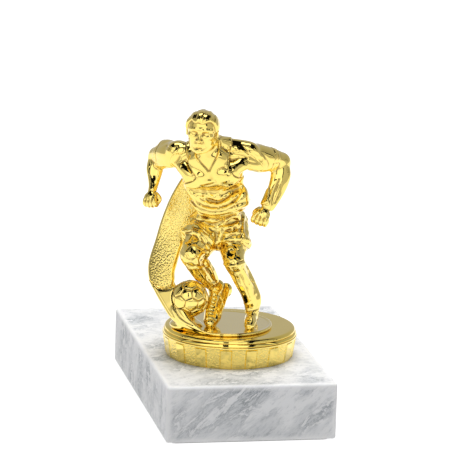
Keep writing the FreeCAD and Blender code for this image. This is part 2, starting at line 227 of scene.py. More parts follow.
    def at(self, pts):
        """Trilinear distance and gradient at points."""
        q = (np.asarray(pts, float) - self.lo) / self.h
        i = np.clip(np.floor(q).astype(int), 0, self.n - 2)
        t = q - i
        x, y, z = i.T
        tx, ty, tz = t.T
        D = self.d
        c = [[[D[x + a, y + b, z + e].astype(float) for e in (0, 1)] for b in (0, 1)] for a in (0, 1)]
        l = lambda p, q_, t_: p * (1 - t_) + q_ * t_
        x00, x01 = l(c[0][0][0], c[1][0][0], tx), l(c[0][0][1], c[1][0][1], tx)
        x10, x11 = l(c[0][1][0], c[1][1][0], tx), l(c[0][1][1], c[1][1][1], tx)
        d = l(l(x00, x10, ty), l(x01, x11, ty), tz)
        return d

    def grad(self, pts, e=None):
        e = e or self.h
        g = np.empty((len(pts), 3))
        for i in range(3):
            s = np.zeros(3)
            s[i] = e
            g[:, i] = (self.at(pts + s) - self.at(pts - s)) / (2 * e)
        return g

    def skin(self, origin, direction, far=14.0, inside=True):
        """First place along a ray where the surface is crossed: outward from inside, or inward from outside."""
        o, d = np.array(origin, float), np.array(direction, float)
        d = d / np.linalg.norm(d)
        t = np.arange(0, far, self.h * 0.5)
        v = self.at(o + t[:, None] * d)
        hit = np.nonzero(v > 0 if inside else v < 0)[0]
        if len(hit) == 0:
            return o
        i = max(hit[0], 1)
        f = v[i - 1] / (v[i - 1] - v[i]) if v[i - 1] != v[i] else 0
        return o + d * (t[i - 1] + f * (t[i] - t[i - 1]))

    def nets(self, field=None):
        """Surface nets: vertices and quads of the zero surface."""
        D = self.d if field is None else field
        S = D < 0
        c = [S[a:a + S.shape[0] - 1, b:b + S.shape[1] - 1, e:e + S.shape[2] - 1] for a in (0, 1) for b in (0, 1) for e in (0, 1)]
        some, every = c[0].copy(), c[0].copy()
        for q in c[1:]:
            some |= q
            every &= q
        cells = np.argwhere(some & ~every)
        M = len(cells)
        i, j, k = cells.T
        val = {(a, b, e): D[i + a, j + b, k + e].astype(float) for a in (0, 1) for b in (0, 1) for e in (0, 1)}
        acc, cnt = np.zeros((M, 3)), np.zeros(M)
        for axis in range(3):
            for b in (0, 1):
                for e in (0, 1):
                    p0 = [0, 0, 0]
                    others = [x for x in range(3) if x != axis]
                    p0[others[0]], p0[others[1]] = b, e
                    p1 = list(p0)
                    p1[axis] = 1
                    va, vb = val[tuple(p0)], val[tuple(p1)]
                    m = (va < 0) != (vb < 0)
                    t = np.where(m, va / np.where(va == vb, 1, va - vb), 0)
                    pos = np.tile(np.array(p0, float), (M, 1))
                    pos[:, axis] = t
                    acc += pos * m[:, None]
                    cnt += m
        verts = self.lo + self.h * (cells + acc / cnt[:, None])
        ids = np.full(np.array(D.shape) - 1, -1, np.int32)
        ids[i, j, k] = np.arange(M)
        quads = []
        for axis in range(3):
            a = [slice(1, -1)] * 3
            b = [slice(1, -1)] * 3
            a[axis], b[axis] = slice(0, -1), slice(1, None)
            sa, sb = S[tuple(a)], S[tuple(b)]
            e = np.argwhere(sa != sb)
            flip = sa[e[:, 0], e[:, 1], e[:, 2]]
            base = e.copy()
            for x in range(3):
                if x != axis:
                    base[:, x] += 1
            u, v = [(1, 2), (2, 0), (0, 1)][axis]
            du, dv = np.zeros(3, int), np.zeros(3, int)
            du[u], dv[v] = -1, -1
            q = [base + du + dv, base + dv, base, base + du]
            q = np.stack([ids[r[:, 0], r[:, 1], r[:, 2]] for r in q], 1)
            q = np.where(flip[:, None], q, q[:, ::-1])
            quads.append(q)
        quads = np.vstack(quads)
        return verts, quads[(quads >= 0).all(1)]


def relax(verts, quads, amount=0.5):
    """One step of moving each vertex towards its neighbours' mean."""
    acc, cnt = np.zeros_like(verts), np.zeros(len(verts))
    for a, b in ((0, 1), (1, 2), (2, 3), (3, 0)):
        for s, t in ((a, b), (b, a)):
            for x in range(3):
                acc[:, x] += np.bincount(quads[:, s], verts[quads[:, t], x], len(verts))
            cnt += np.bincount(quads[:, s], minlength=len(verts))
    mean = acc / np.maximum(cnt, 1)[:, None]
    return verts + amount * (mean - verts), mean


def finish_mesh(clay, verts, quads, cuts=(), rounds=3):
    """Evens the vertices out along the surface and puts them exactly on it. cuts are (value, gradient)
    functions of flat or curved faces that the piece was trimmed by."""
    h = clay.h
    for r in range(rounds):
        _, mean = relax(verts, quads)
        g = clay.grad(verts)
        n = g / np.maximum(np.linalg.norm(g, axis=1), 1e-6)[:, None]
        d = clay.at(verts)
        on_cut = np.zeros(len(verts), bool)
        edge = np.zeros(len(verts), bool)
        for value, gradient in cuts:
            f = value(verts)
            near = np.abs(f) < 0.75 * h
            on_cut |= near & (d < -0.3 * h)
            edge |= near & (d >= -0.75 * h)
        move = mean - verts
        move -= n * (move * n).sum(1)[:, None]
        free = ~(on_cut | edge)
        verts = verts + np.where(free[:, None], 0.5 * move, 0)
        for _ in range(2):
            d = clay.at(verts)
            g = clay.grad(verts)
            step = -d / np.maximum((g * g).sum(1), 0.25)
            step = np.clip(step, -0.6 * h, 0.6 * h)
            verts = verts + np.where(on_cut[:, None], 0, g * step[:, None])
            for value, gradient in cuts:
                f = value(verts)
                near = (np.abs(f) < 0.75 * h) & (on_cut | edge)
                gc = gradient(verts)
                verts = verts - np.where(near[:, None], gc * (f / (gc * gc).sum(1))[:, None], 0)
    return verts


# ---------------------------------------------------------------- the player
VOX = 0.21
BALL_C, BALL_R = np.array([-14.5, -6.4, 9.5]), 6.8
JOINTS = {"right": (np.array([-25.2, 4.8, 59.8]), np.array([-3.3, 4.0, -0.8])),
          "left": (np.array([12.9, 1.2, 59.6]), np.array([4.6, 3.3, -1.1]))}
JOINTS = {k: (c, d / np.linalg.norm(d)) for k, (c, d) in JOINTS.items()}
PART = [(-5.0, -2.0), (-3.4, 4.0), (-1.5, 11.0), (-6.0, 19.0), (-6.6, 24.0), (1.0, 31.0), (3.0, 37.0),
        (1.5, 42.0), (-1.8, 48.0), (-4.4, 54.0), (-6.8, 60.0), (-9.6, 66.0), (-12.2, 72.0), (-12.6, 84.0)]

# trunk frame: a to the side, b to the front, c up
T0 = np.array([-5.0, 2.0, 36.0])
TU = np.array([-0.125, -0.331, 0.935])
TS = np.array([0.992, -0.042, 0.118])
TF = np.array([0.0, -0.943, -0.334])


def trunk(a, b, c):
    return tuple(T0 + a * TS + b * TF + c * TU)


def basis(up, fwd):
    up = np.array(up, float) / np.linalg.norm(up)
    f = np.array(fwd, float) - up * np.dot(fwd, up)
    f /= np.linalg.norm(f)
    return np.cross(up, f) * -1.0, f, up      # side, front, up


def fist(c, centre, d, p, q, size=1.0):
    """A closed hand: d wrist to knuckles, p out of the palm, q across the knuckles towards the thumb."""
    centre, d, p, q = (np.array(x, float) for x in (centre, d, p, q))
    d /= np.linalg.norm(d)
    p = p - d * (p @ d); p /= np.linalg.norm(p)
    q = np.cross(d, p) * (1 if np.cross(d, p) @ q > 0 else -1)

    def at(x, y, z, r):
        return tuple(centre + size * (x * d + y * p + z * q)) + (r * size,)
    c.add(c.ell(centre - 0.2 * size * d - 0.35 * size * p, (2.1 * size, 1.25 * size, 2.55 * size), (d, p, q)), 0.8)
    c.add(c.ell(centre - 0.2 * size * d + 0.7 * size * p, (1.7 * size, 1.3 * size, 2.2 * size), (d, p, q)), 0.6)
    for i in range(4):
        z = (i - 1.5) * 1.32
        reach = (0.0, 0.12, 0.05, -0.28)[3 - i]
        c.add(c.tube([at(0.6, -0.55, z * 0.92, 0.85), at(2.15 + reach, -0.35, z, 0.88), at(2.65 + reach, 0.75, z, 0.8),
                      at(2.0 + reach, 1.75, z * 0.97, 0.76), at(0.6, 1.75, z * 0.93, 0.7)], 4), 0.12)
        if i < 3:
            z2 = (i - 1.0) * 1.32
            c.line([at(1.0, -1.1, z2, 0)[:3], at(2.6, -0.9, z2, 0)[:3], at(3.25, 0.4, z2, 0)[:3], at(2.7, 1.9, z2, 0)[:3]], 0.24, -0.18, 4)
    c.add(c.tube([at(-1.5, 0.6, 1.9, 0.85), at(-0.1, 1.5, 2.75, 0.92), at(1.0, 2.35, 1.9, 0.78), at(1.2, 2.6, 0.5, 0.66)], 4), 0.2)
    for i in range(4):                    # knuckles and tendons
        z = (i - 1.5) * 1.32
        c.line([at(-1.6, -1.5, z * 0.55, 0)[:3], at(0.4, -1.65, z * 0.8, 0)[:3], at(2.0, -1.25, z, 0)[:3]], 0.32, 0.16, 3)


def build_head(c):
    side, fwd, up = HS, HF, HU

    def P(s, f, u):
        return tuple(HC + HW * s * side + f * fwd + u * up)

    def R(s, f, u, r):
        return P(s, f, u) + (r,)
    fr = (side, fwd, up)
    E = lambda s, f, u, r, k: c.add(c.ell(P(s, f, u), (r[0] * HW, r[1], r[2]), fr), k)
    E(0, -0.8, 1.7, (4.7, 5.9, 5.2), 0.6)
    E(0, 0.9, -1.2, (4.15, 4.2, 5.1), 1.0)
    E(0, 1.3, -4.1, (3.3, 3.2, 2.5), 1.0)
    for m in (-1, 1):
        c.add(c.tube([R(3.7 * m, -0.9, -1.6, 0.9), R(3.35 * m, -0.5, -3.9, 1.0), R(2.1 * m, 2.4, -5.6, 1.05), R(0.5 * m, 4.0, -6.2, 1.0)]), 0.9)
        E(2.75 * m, 3.2, -0.9, (1.25, 1.15, 0.95), 0.8)
    E(0, 4.15, -5.95, (1.15, 0.95, 0.95), 0.7)
    c.add(c.tube([R(-3.3, 3.0, 1.15, 0.62), R(-1.9, 4.25, 1.35, 0.66), R(0, 4.55, 1.1, 0.6), R(1.9, 4.25, 1.35, 0.66), R(3.3, 3.0, 1.15, 0.62)]), 0.6)
    for m in (-1, 1):
        c.cut(c.ell(P(1.8 * m, 5.0, 0.1), (1.3, 1.05, 0.8), fr), 0.7)
        E(1.8 * m, 3.45, 0.0, (1.0, 0.98, 0.72), 0.1)
        c.line([P(0.75 * m, 4.35, -0.1), P(1.3 * m, 4.55, 0.42), P(2.1 * m, 4.4, 0.46), P(2.8 * m, 3.75, 0.02)], 0.2, 0.2)
        c.line([P(0.8 * m, 4.4, -0.2), P(1.5 * m, 4.5, -0.5), P(2.2 * m, 4.2, -0.46), P(2.8 * m, 3.7, -0.06)], 0.2, 0.13)
        c.line([P(0.7 * m, 4.9, 1.35), P(1.8 * m, 4.85, 1.72), P(3.1 * m, 3.75, 1.42)], 0.3, 0.16)
    c.add(c.tube([R(0, 4.35, 0.9, 0.5), R(0, 4.95, -0.5, 0.55), R(0, 5.6, -1.7, 0.62), R(0, 5.85, -2.25, 0.72)]), 0.5)
    for m in (-1, 1):
        E(0.72 * m, 5.0, -2.4, (0.52, 0.62, 0.5), 0.3)
        c.cut(c.ell(P(0.4 * m, 5.45, -2.95), (0.24, 0.4, 0.3), fr), 0.15)
    E(0, 3.85, -3.95, (1.9, 1.25, 1.35), 0.7)
    c.add(c.tube([R(-1.5, 4.2, -4.0, 0.18), R(-0.65, 4.95, -3.72, 0.34), R(0, 5.05, -3.78, 0.3), R(0.65, 4.95, -3.72, 0.34), R(1.5, 4.2, -4.0, 0.18)]), 0.22)
    c.add(c.tube([R(-1.3, 4.3, -4.15, 0.18), R(-0.5, 4.85, -4.4, 0.36), R(0.5, 4.85, -4.4, 0.36), R(1.3, 4.3, -4.15, 0.18)]), 0.22)
    c.line([P(-1.5, 4.5, -4.04), P(-0.6, 5.25, -4.06), P(0, 5.3, -4.1), P(0.6, 5.25, -4.06), P(1.5, 4.5, -4.04)], 0.16, -0.26)
    c.line([P(-0.7, 4.85, -5.05), P(0, 4.95, -5.1), P(0.7, 4.85, -5.05)], 0.34, -0.22)
    for m in (-1, 1):
        c.line([P(1.25 * m, 5.1, -2.6), P(1.85 * m, 4.6, -3.4), P(2.0 * m, 4.1, -4.2)], 0.28, -0.12)
        # ears
        ear = basis(up + 0.15 * fwd, side * m + 0.35 * -fwd)
        c.add(c.ell(P(4.75 * m, -0.9, -0.5), (1.1, 0.5, 1.75), (ear[0], ear[1], ear[2])), 0.25)
        c.cut(c.ell(P(5.3 * m, -0.65, -0.5), (0.55, 0.4, 1.05), (ear[0], ear[1], ear[2])), 0.25)
        c.line([P(5.05 * m, 0.1, -0.3), P(5.2 * m, 0.0, 0.9), P(5.35 * m, -1.1, 1.1), P(5.3 * m, -1.7, 0.2), P(5.15 * m, -1.4, -1.2), P(4.9 * m, -0.6, -2.1)], 0.2, 0.14)


def hair(c):
    side, fwd, up = HS, HF, HU
    w = c.win(HC - 9.0, HC + 9.0)
    X, Y, Z = c.xyz(w)
    x, y, z = X - F(HC[0]), Y - F(HC[1]), Z - F(HC[2])
    s = (x * F(side[0]) + y * F(side[1]) + z * F(side[2])) / F(HW)
    f = x * F(fwd[0]) + y * F(fwd[1]) + z * F(fwd[2])
    u = x * F(up[0]) + y * F(up[1]) + z * F(up[2])
    k = np.sqrt((s / F(4.7)) ** 2 + ((f + F(0.8)) / F(5.9)) ** 2 + ((u - F(1.7)) / F(5.2)) ** 2)
    cap = (k - 1) * F(5.2)
    # hairline: high over the brow with two soft bays, down past the temples, round the ears, low at the nape
    t = smooth01((f - 1.2) / 1.8)
    front = 4.1 - 0.16 * (np.abs(s) - 1.9) ** 2 * np.sign(1.9 - np.abs(s)) * 0.5 - 0.05 * s + 0.18 * np.sin(2.3 * s + 0.6)
    temple = 0.3 + 0.15 * np.sin(3 * f)
    back = -4.4 + 0.12 * np.sin(2.6 * s)
    t2 = smooth01((f + 2.8) / 1.4)
    edge = (front * t + temple * (1 - t)) * t2 + back * (1 - t2)
    region = (edge - u) * F(0.7)
    # locks sweep up and back from the brow, over the crown and down
    sweep = s * 1.25 + 0.5 * np.sin(0.5 * u + 0.3 * f + 0.8 * s) + 0.35 * np.sin(0.9 * f)
    locks = 0.12 * np.sin(sweep * 2.1 + 0.4) + 0.07 * np.sin(sweep * 4.9 + 1.3 + 0.5 * f) + 0.05 * np.sin(sweep * 9.5 + 0.9 * u)
    swell = 0.50 + 0.50 * np.exp(-(((s + 0.3) / 3.4) ** 2 + ((f - 2.2) / 2.6) ** 2 + ((u - 5.8) / 2.0) ** 2))
    swell = swell + 0.35 * np.exp(-((np.abs(s) - 4.6) / 1.2) ** 2 - ((u - 2.0) / 2.4) ** 2)
    layer = smax(cap - (swell + locks * smooth01((u - edge) / 0.9)).astype(F), region.astype(F), 0.7)
    c.d[w] = smin(c.d[w], layer.astype(F), 0.18)


HW = 1.12                                  # breadth of the head over the plan's
HC = np.array([-11.7, -12.4, 71.1])
HU = np.array([0.045, -0.055, 1.0]); HU /= np.linalg.norm(HU)
HF = np.array([-0.17, -0.97, -0.16]); HF -= HU * (HF @ HU); HF /= np.linalg.norm(HF)
HS = np.cross(HF, HU); HS /= np.linalg.norm(HS)


def build_body():
    c = Clay((-34.5, -21.5, -1.5), (22.5, 16.5, 80.5), VOX)
    A, T, L = (lambda wd, k=0.6: c.add(wd, k)), c.tube, c.ell
    # --- trunk
    A(L((-8.0, -3.0, 52.0), (9.4, 6.4, 9.2), (TS, TF, TU)))
    A(L((-5.4, 0.6, 43.0), (8.8, 5.8, 8.5), (TS, TF, TU)), 1.5)
    A(L((-4.9, 4.0, 34.0), (10.2, 7.2, 6.8)), 1.5)
    for m in (-1, 1):                                            # glutes, lats, shoulder blades, lower back
        A(L((-5.0 + 4.5 * m, 9.0, 31.4), (5.4, 4.6, 5.8)), 1.2)
        A(L(trunk(5.0 * m, -6.4, 21.5), (4.6, 2.4, 5.6), (TS, TF, TU)), 1.0)
        A(T([trunk(2.2 * m, -5.8, 16) + (1.9,), trunk(1.9 * m, -5.4, 9) + (1.9,), trunk(2.0 * m, -5.6, 3) + (1.8,)]), 1.0)
    A(T([(0.4, -3.6, 57, 3.0), (0.2, -1.8, 50, 2.5), (2.0, 0.8, 43, 2.2)]), 1.2)
    A(T([(-17.4, -2.6, 56, 3.0), (-14.0, -1.6, 50, 2.6), (-11.6, 0.6, 43, 2.2)]), 1.2)
    # chest
    A(L(trunk(4.6, 5.6, 21.6), (4.9, 2.5, 3.6), (TS, TF, TU)), 0.9)
    A(L(trunk(-5.4, 5.6, 21.6), (4.9, 2.5, 3.6), (TS, TF, TU)), 0.9)
    A(L(trunk(-0.4, 5.5, 21.2), (5.4, 2.1, 4.0), (TS, TF, TU)), 1.2)
    A(L(trunk(-0.6, 3.0, 26.2), (7.2, 3.1, 5.6), (TS, TF, TU)), 1.4)
    A(L(trunk(-0.6, 4.2, 24.4), (6.4, 2.2, 4.2), (TS, TF, TU)), 1.2)
    A(T([trunk(4.2, 5.6, 22.4) + (2.4,), trunk(8.0, 3.8, 23.6) + (2.5,), (6.0, -4.6, 60.2, 2.6)]), 1.0)
    A(T([trunk(-5.0, 5.6, 22.4) + (2.4,), trunk(-8.6, 3.8, 23.6) + (2.5,), (-19.6, -4.2, 59.4, 2.6)]), 1.0)
    # --- neck, traps, collarbones
    A(T([(-8.2, -5.8, 58.5, 4.4), (-9.0, -8.2, 63.5, 3.9), (-10.4, -10.8, 68.0, 3.7)]), 1.0)
    A(T([(-9.6, -7.8, 66.4, 2.6), (-13.6, -5.4, 63.8, 2.1), (-17.6, -3.4, 62.6, 2.2)]), 1.0)
    A(T([(-7.4, -7.6, 67.0, 2.6), (-3.4, -5.6, 65.2, 2.6), (1.6, -4.2, 64.0, 2.9)]), 1.2)
    A(T([(-8.4, -4.6, 64.0, 3.0), (-8.2, -1.6, 58.0, 3.6), (-7.6, 0.6, 52.0, 3.4)]), 1.4)
    for m, x0, x1, z1 in ((-1, -11.0, -17.6, 62.6), (1, -6.6, 1.0, 63.4)):
        A(T([(x0, -10.9, 61.2, 0.7), ((x0 + x1) / 2, -9.0, 62.1, 0.8), (x1, -6.2, z1 - 0.4, 0.9)]), 1.1)
    A(T([(-13.9, -11.4, 68.2, 0.9), (-11.8, -11.8, 64.4, 0.9), (-9.4, -11.2, 61.2, 0.8)]), 1.0)   # neck cords
    A(T([(-6.6, -9.4, 68.6, 1.0), (-7.6, -10.6, 64.8, 0.95), (-8.6, -11.2, 61.2, 0.8)]), 1.0)
    # --- right arm (left in the picture)
    A(T([(-16.8, -4.2, 60.8, 4.2), (-19.6, -3.2, 60.5, 4.7), (-22.4, -0.4, 60.0, 4.5), (-25.0, 3.2, 59.2, 3.9), (-27.2, 6.4, 58.2, 3.3)]), 0.9)
    A(L((-20.0, -3.4, 62.2), (4.6, 3.6, 3.6), basis((0, 0, 1), (0.6, -0.8, 0))), 0.5)             # deltoid
    A(L((-23.6, 2.6, 62.2), (3.2, 4.2, 2.5), basis((0, 0, 1), (-0.6, 0.8, 0))), 0.6)              # rear deltoid, triceps
    A(T([(-22.6, -2.8, 58.0, 2.4), (-25.2, 1.2, 56.9, 2.6), (-27.4, 5.4, 56.4, 2.0)]), 0.5)       # biceps
    A(L((-27.9, 7.5, 57.5), (2.9, 3.0, 3.2)), 0.8)
    A(T([(-27.9, 7.0, 56.6, 2.9), (-28.2, 5.4, 54.0, 2.8), (-28.1, 3.6, 51.2, 2.3), (-28.4, 1.4, 48.8, 1.75), (-28.8, -0.4, 46.9, 1.6)]), 0.7)
    A(T([(-29.3, 6.4, 56.2, 1.5), (-29.7, 4.6, 53.6, 1.6), (-29.5, 2.6, 50.9, 1.2), (-29.3, 0.8, 48.6, 0.9)]), 0.4)
    A(T([(-26.7, 5.4, 56.0, 1.5), (-26.7, 3.4, 53.6, 1.5), (-27.1, 1.6, 50.8, 1.1), (-27.8, -0.2, 48.0, 0.8)]), 0.4)
    # --- left arm (right in the picture)
    A(T([(0.2, -4.8, 61.4, 4.6), (3.2, -4.0, 61.2, 4.9), (6.6, -2.4, 60.6, 4.7), (10.0, -0.4, 59.9, 4.3), (13.2, 1.8, 59.0, 3.8), (16.0, 3.8, 57.8, 3.4)]), 0.9)
    A(L((3.6, -4.2, 63.3), (5.2, 3.6, 3.3), basis((0, 0, 1), (-0.35, -0.9, 0))), 0.5)             # deltoid
    A(T([(4.4, -0.6, 62.6, 2.6), (8.4, 1.4, 61.9, 2.6), (12.4, 3.6, 60.4, 2.0)]), 0.5)            # triceps
    A(T([(5.6, -6.0, 58.6, 2.4), (9.0, -3.2, 57.8, 2.7), (12.4, -0.2, 57.2, 2.1)]), 0.5)          # biceps
    A(L((16.5, 4.2, 57.6), (3.1, 3.1, 3.3)), 0.8)
    A(T([(16.2, 3.8, 57.0, 3.2), (16.2, 2.4, 53.8, 3.2), (15.3, 0.4, 50.2, 3.0), (13.6, -1.8, 46.8, 2.5), (11.9, -3.8, 43.6, 2.2)]), 0.7)
    A(T([(17.6, 3.2, 56.4, 1.7), (18.0, 2.0, 53.4, 1.9), (17.2, 0.2, 49.8, 1.6), (15.4, -2.2, 46.0, 1.3), (13.2, -4.0, 42.6, 1.2)]), 0.4)
    A(T([(14.6, 1.8, 56.4, 1.6), (14.4, 0.4, 53.2, 1.8), (13.4, -1.4, 49.8, 1.5), (12.0, -3.2, 46.4, 1.0)]), 0.35)
    # --- legs
    A(T([(-8.6, 4.6, 32.5, 6.0), (-11.0, 0.4, 30.0, 5.7), (-13.0, -3.8, 27.8, 4.7), (-14.5, -7.2, 26.0, 3.9)]), 1.0)
    A(T([(-14.5, -8.0, 25.0, 3.5), (-13.2, -6.6, 21.8, 3.0), (-11.2, -4.4, 18.2, 2.7), (-8.8, -1.8, 15.0, 2.3), (-6.6, 0.4, 12.6, 2.0), (-5.4, 1.2, 11.2, 2.1)]), 0.9)
    A(T([(-12.4, -4.6, 23.6, 2.6), (-10.0, -2.4, 20.6, 3.0), (-7.8, -0.4, 17.2, 2.7), (-5.6, 1.8, 13.8, 1.7)]), 0.8)
    A(L((-15.3, -10.4, 25.3), (2.1, 1.3, 2.3)), 0.5)
    A(T([(0.4, 4.8, 32.0, 6.0), (0.4, 0.8, 29.2, 5.4), (0.2, -3.2, 26.4, 4.5), (0.7, -6.4, 23.8, 3.8)]), 1.0)
    A(T([(0.9, -7.2, 22.9, 3.5), (2.4, -6.4, 19.6, 3.1), (4.0, -5.4, 15.8, 2.8), (5.8, -4.4, 11.8, 2.6), (7.0, -3.8, 8.2, 2.4), (7.6, -3.4, 4.6, 2.3), (7.7, -3.4, 2.6, 2.2)]), 0.9)
    A(T([(2.6, -4.0, 21.6, 2.7), (4.8, -2.4, 17.0, 2.8), (7.0, -1.8, 12.4, 2.8), (8.4, -2.0, 8.4, 2.6), (8.2, -2.4, 5.0, 1.8)]), 0.8)
    A(L((1.0, -10.2, 23.0), (2.2, 1.3, 2.4)), 0.5)
    return c


def build_feet(c):
    A, T, L = (lambda wd, k=0.6: c.add(wd, k)), c.tube, c.ell
    # right boot: on its toe, heel up
    A(L((-1.9, 3.6, 10.6), (2.5, 2.6, 2.7)), 0.8)
    A(T([(-2.7, 2.6, 9.8, 2.4), (-3.9, -0.8, 6.6, 2.1), (-5.4, -4.6, 3.2, 2.4), (-6.6, -7.4, 1.5, 2.2), (-7.0, -8.6, 1.2, 1.8)]), 0.8)
    A(T([(-5.5, 0.9, 11.0, 2.25), (-6.3, -2.2, 7.6, 2.1), (-7.0, -5.2, 4.0, 2.2), (-7.4, -7.6, 2.0, 1.9)]), 0.8)
    A(T([(-4.6, 1.8, 12.6, 2.25), (-5.2, 1.2, 11.6, 2.35)]), 0.2)
    # left boot: flat
    A(L((7.9, -0.9, 2.0), (2.3, 2.4, 2.3)), 0.7)
    A(T([(7.7, -2.0, 2.3, 2.3), (7.4, -5.2, 2.3, 2.3), (7.1, -8.4, 1.7, 2.3), (7.0, -10.2, 1.1, 1.8)]), 0.7)
    A(T([(7.7, -3.2, 4.4, 2.35), (7.5, -5.0, 3.6, 1.9), (7.2, -8.0, 2.6, 1.6)]), 0.6)


# ---------------------------------------------------------------- the front chart
# Places on the front of the figure are given on a chart: the camera's view plane, 6.4 x 465 units square.
CAM_AZ, CAM_EL, CAM_ROLL, CAM_F = -11.63, 13.02, 1.82, 3405.45
CAM_AT = np.array([-236.908, -1160.591, 335.912])


def camera_axes():
    a, e, r = (math.radians(v) for v in (CAM_AZ, CAM_EL, CAM_ROLL))
    back = np.array([math.sin(a) * math.cos(e), -math.cos(a) * math.cos(e), math.sin(e)])
    right = np.cross([0, 0, 1.0], back)
    right /= np.linalg.norm(right)
    up = np.cross(back, right)
    return right * math.cos(r) + up * math.sin(r), up * math.cos(r) - right * math.sin(r), back


_a = math.radians(-11.63)
ROWX = np.array([math.cos(_a), math.sin(_a), 0.0])
ROWY = np.array([-math.sin(_a), math.cos(_a), 0.0])
RIGHT, UP, BACK = (np.array([v @ ROWX, v @ ROWY, v[2]]) for v in camera_axes())
_c = CAM_AT - np.array([0, -11.7, 32.2])
EYE = np.array([_c @ ROWX, _c @ ROWY, _c[2]])


def sight(x, y):
    u, v = 135 + x / 6.4, 100 + y / 6.4
    d = RIGHT * (u - 232.5) / CAM_F - UP * (v - 232.5) / CAM_F - BACK
    return d / np.linalg.norm(d)


def seen(c, x, y, first=-24.0, last=16.0):
    """The first surface on the line of sight through a chart place."""
    d = sight(x, y)
    t0 = (first - EYE[1]) / d[1]
    t1 = (last - EYE[1]) / d[1]
    t = np.arange(t0, t1, c.h * 0.6)
    v = c.at(EYE + t[:, None] * d)
    hit = np.nonzero(v < 0)[0]
    if len(hit) == 0 or hit[0] == 0:
        i = int(np.argmin(v))
        return EYE + d * t[i] if v[i] < 1.2 else None
    i = hit[0]
    return EYE + d * (t[i - 1] + (t[i] - t[i - 1]) * v[i - 1] / (v[i - 1] - v[i]))


def chart_of(X, Y, Z):
    x, y, z = X - F(EYE[0]), Y - F(EYE[1]), Z - F(EYE[2])
    w = -(x * F(BACK[0]) + y * F(BACK[1]) + z * F(BACK[2]))
    u = (x * F(RIGHT[0]) + y * F(RIGHT[1]) + z * F(RIGHT[2])) / w * F(CAM_F) + F(232.5)
    v = -(x * F(UP[0]) + y * F(UP[1]) + z * F(UP[2])) / w * F(CAM_F) + F(232.5)
    return (u - 135) * F(6.4), (v - 100) * F(6.4)


MM = 17.7                                  # chart units per millimetre at the figure


def mark(c, width, amp, *pts, n=7):
    """A ridge or groove drawn on the chart: (x, y) or (x, y, strength)."""
    rows = []
    for p in pts:
        q = seen(c, p[0], p[1])
        if q is not None:
            rows.append(tuple(q) + (p[2] if len(p) > 2 else 1.0,))
    if len(rows) > 1:
        # keep a line on the surface it started on
        rows = [r for i, r in enumerate(rows) if i == 0 or abs(r[1] - rows[i - 1][1]) < 5.5]
    if len(rows) > 1:
        c.line(rows, width, amp, n)


def roll(c, k, *pts, n=5):
    """A round roll laid on the surface: chart rows (x, y, radius, lift)."""
    rows = []
    for x, y, r, lift in pts:
        q = seen(c, x, y)
        if q is not None:
            rows.append(tuple(q - sight(x, y) * (lift - r * 0.0)) + (r,))
    if len(rows) > 1:
        c.add(c.tube(rows, n), k)


def poly_sdf(px, py, poly):
    """Signed distance to a closed outline, negative inside."""
    p = np.array(poly, float)
    d = np.full(np.broadcast(px, py).shape, 1e9, F)
    inside = np.zeros(d.shape, bool)
    for a, b in zip(p, np.roll(p, -1, 0)):
        ab = b - a
        t = np.clip(((px - F(a[0])) * F(ab[0]) + (py - F(a[1])) * F(ab[1])) / F(ab @ ab), 0, 1)
        d = np.minimum(d, (px - F(a[0]) - t * F(ab[0])) ** 2 + (py - F(a[1]) - t * F(ab[1])) ** 2)
        if a[1] != b[1]:
            cross = (py < F(a[1])) != (py < F(b[1]))
            inside ^= cross & (px < F(a[0]) + (py - F(a[1])) * F(ab[0] / ab[1]))
    d = np.sqrt(d)
    return np.where(inside, -d, d)


def smooth_outline(pts, n=4):
    p = list(pts) + [pts[0], pts[1]]
    q = spline(p, n)
    return q[: len(pts) * n]


def garment(c, lo, hi, region, thick, k=0.25, soft=0.12):
    """Cloth over the body where region (a function of X, Y, Z in mm, negative inside) allows."""
    w = c.win(lo, hi)
    X, Y, Z = c.xyz(w)
    X, Y, Z = np.broadcast_arrays(X, Y, Z)
    near = np.abs(c.d[w]) < 2.2
    reg = np.full(near.shape, 5.0, F)
    reg[near] = region(X[near], Y[near], Z[near])
    layer = smax(c.d[w] - F(thick), reg, k)
    c.d[w] = smin(c.d[w], layer.astype(F), soft)


VEST_FRONT = smooth_outline([
    (336, 230), (338, 300), (345, 365), (354, 420), (374, 465), (396, 498), (372, 524), (300, 548), (200, 610), (260, 665), (330, 672),
    (381, 690), (435, 720), (495, 734), (589, 720), (687, 692), (745, 676), (860, 655), (880, 560), (730, 505), (668, 500), (628, 478),
    (610, 430), (608, 380), (613, 310), (612, 230), (548, 230), (546, 310), (536, 362), (508, 418), (482, 462), (452, 436),
    (424, 406), (398, 372), (394, 300), (396, 230)])
VEST_BACK = smooth_outline([
    (-14, 6), (14, 6), (14, 15), (9.2, 17.5), (7.2, 21.5), (6.8, 26), (7.6, 34), (3.4, 34), (2.6, 28.8), (-0.4, 27.2),
    (-3.4, 28.6), (-4.6, 34), (-8.4, 34), (-7.8, 26), (-8.2, 21.5), (-10.2, 17.5), (-14, 15)])


def vest_region(X, Y, Z):
    x, y, z = X - F(T0[0]), Y - F(T0[1]), Z - F(T0[2])
    a = x * F(TS[0]) + y * F(TS[1]) + z * F(TS[2])
    b = x * F(TF[0]) + y * F(TF[1]) + z * F(TF[2])
    cc = x * F(TU[0]) + y * F(TU[1]) + z * F(TU[2])
    u, v = chart_of(X, Y, Z)
    front = poly_sdf(u, v, VEST_FRONT) / F(MM)
    rear = poly_sdf(a, cc, VEST_BACK)
    return np.where(b > -0.3, front, rear)


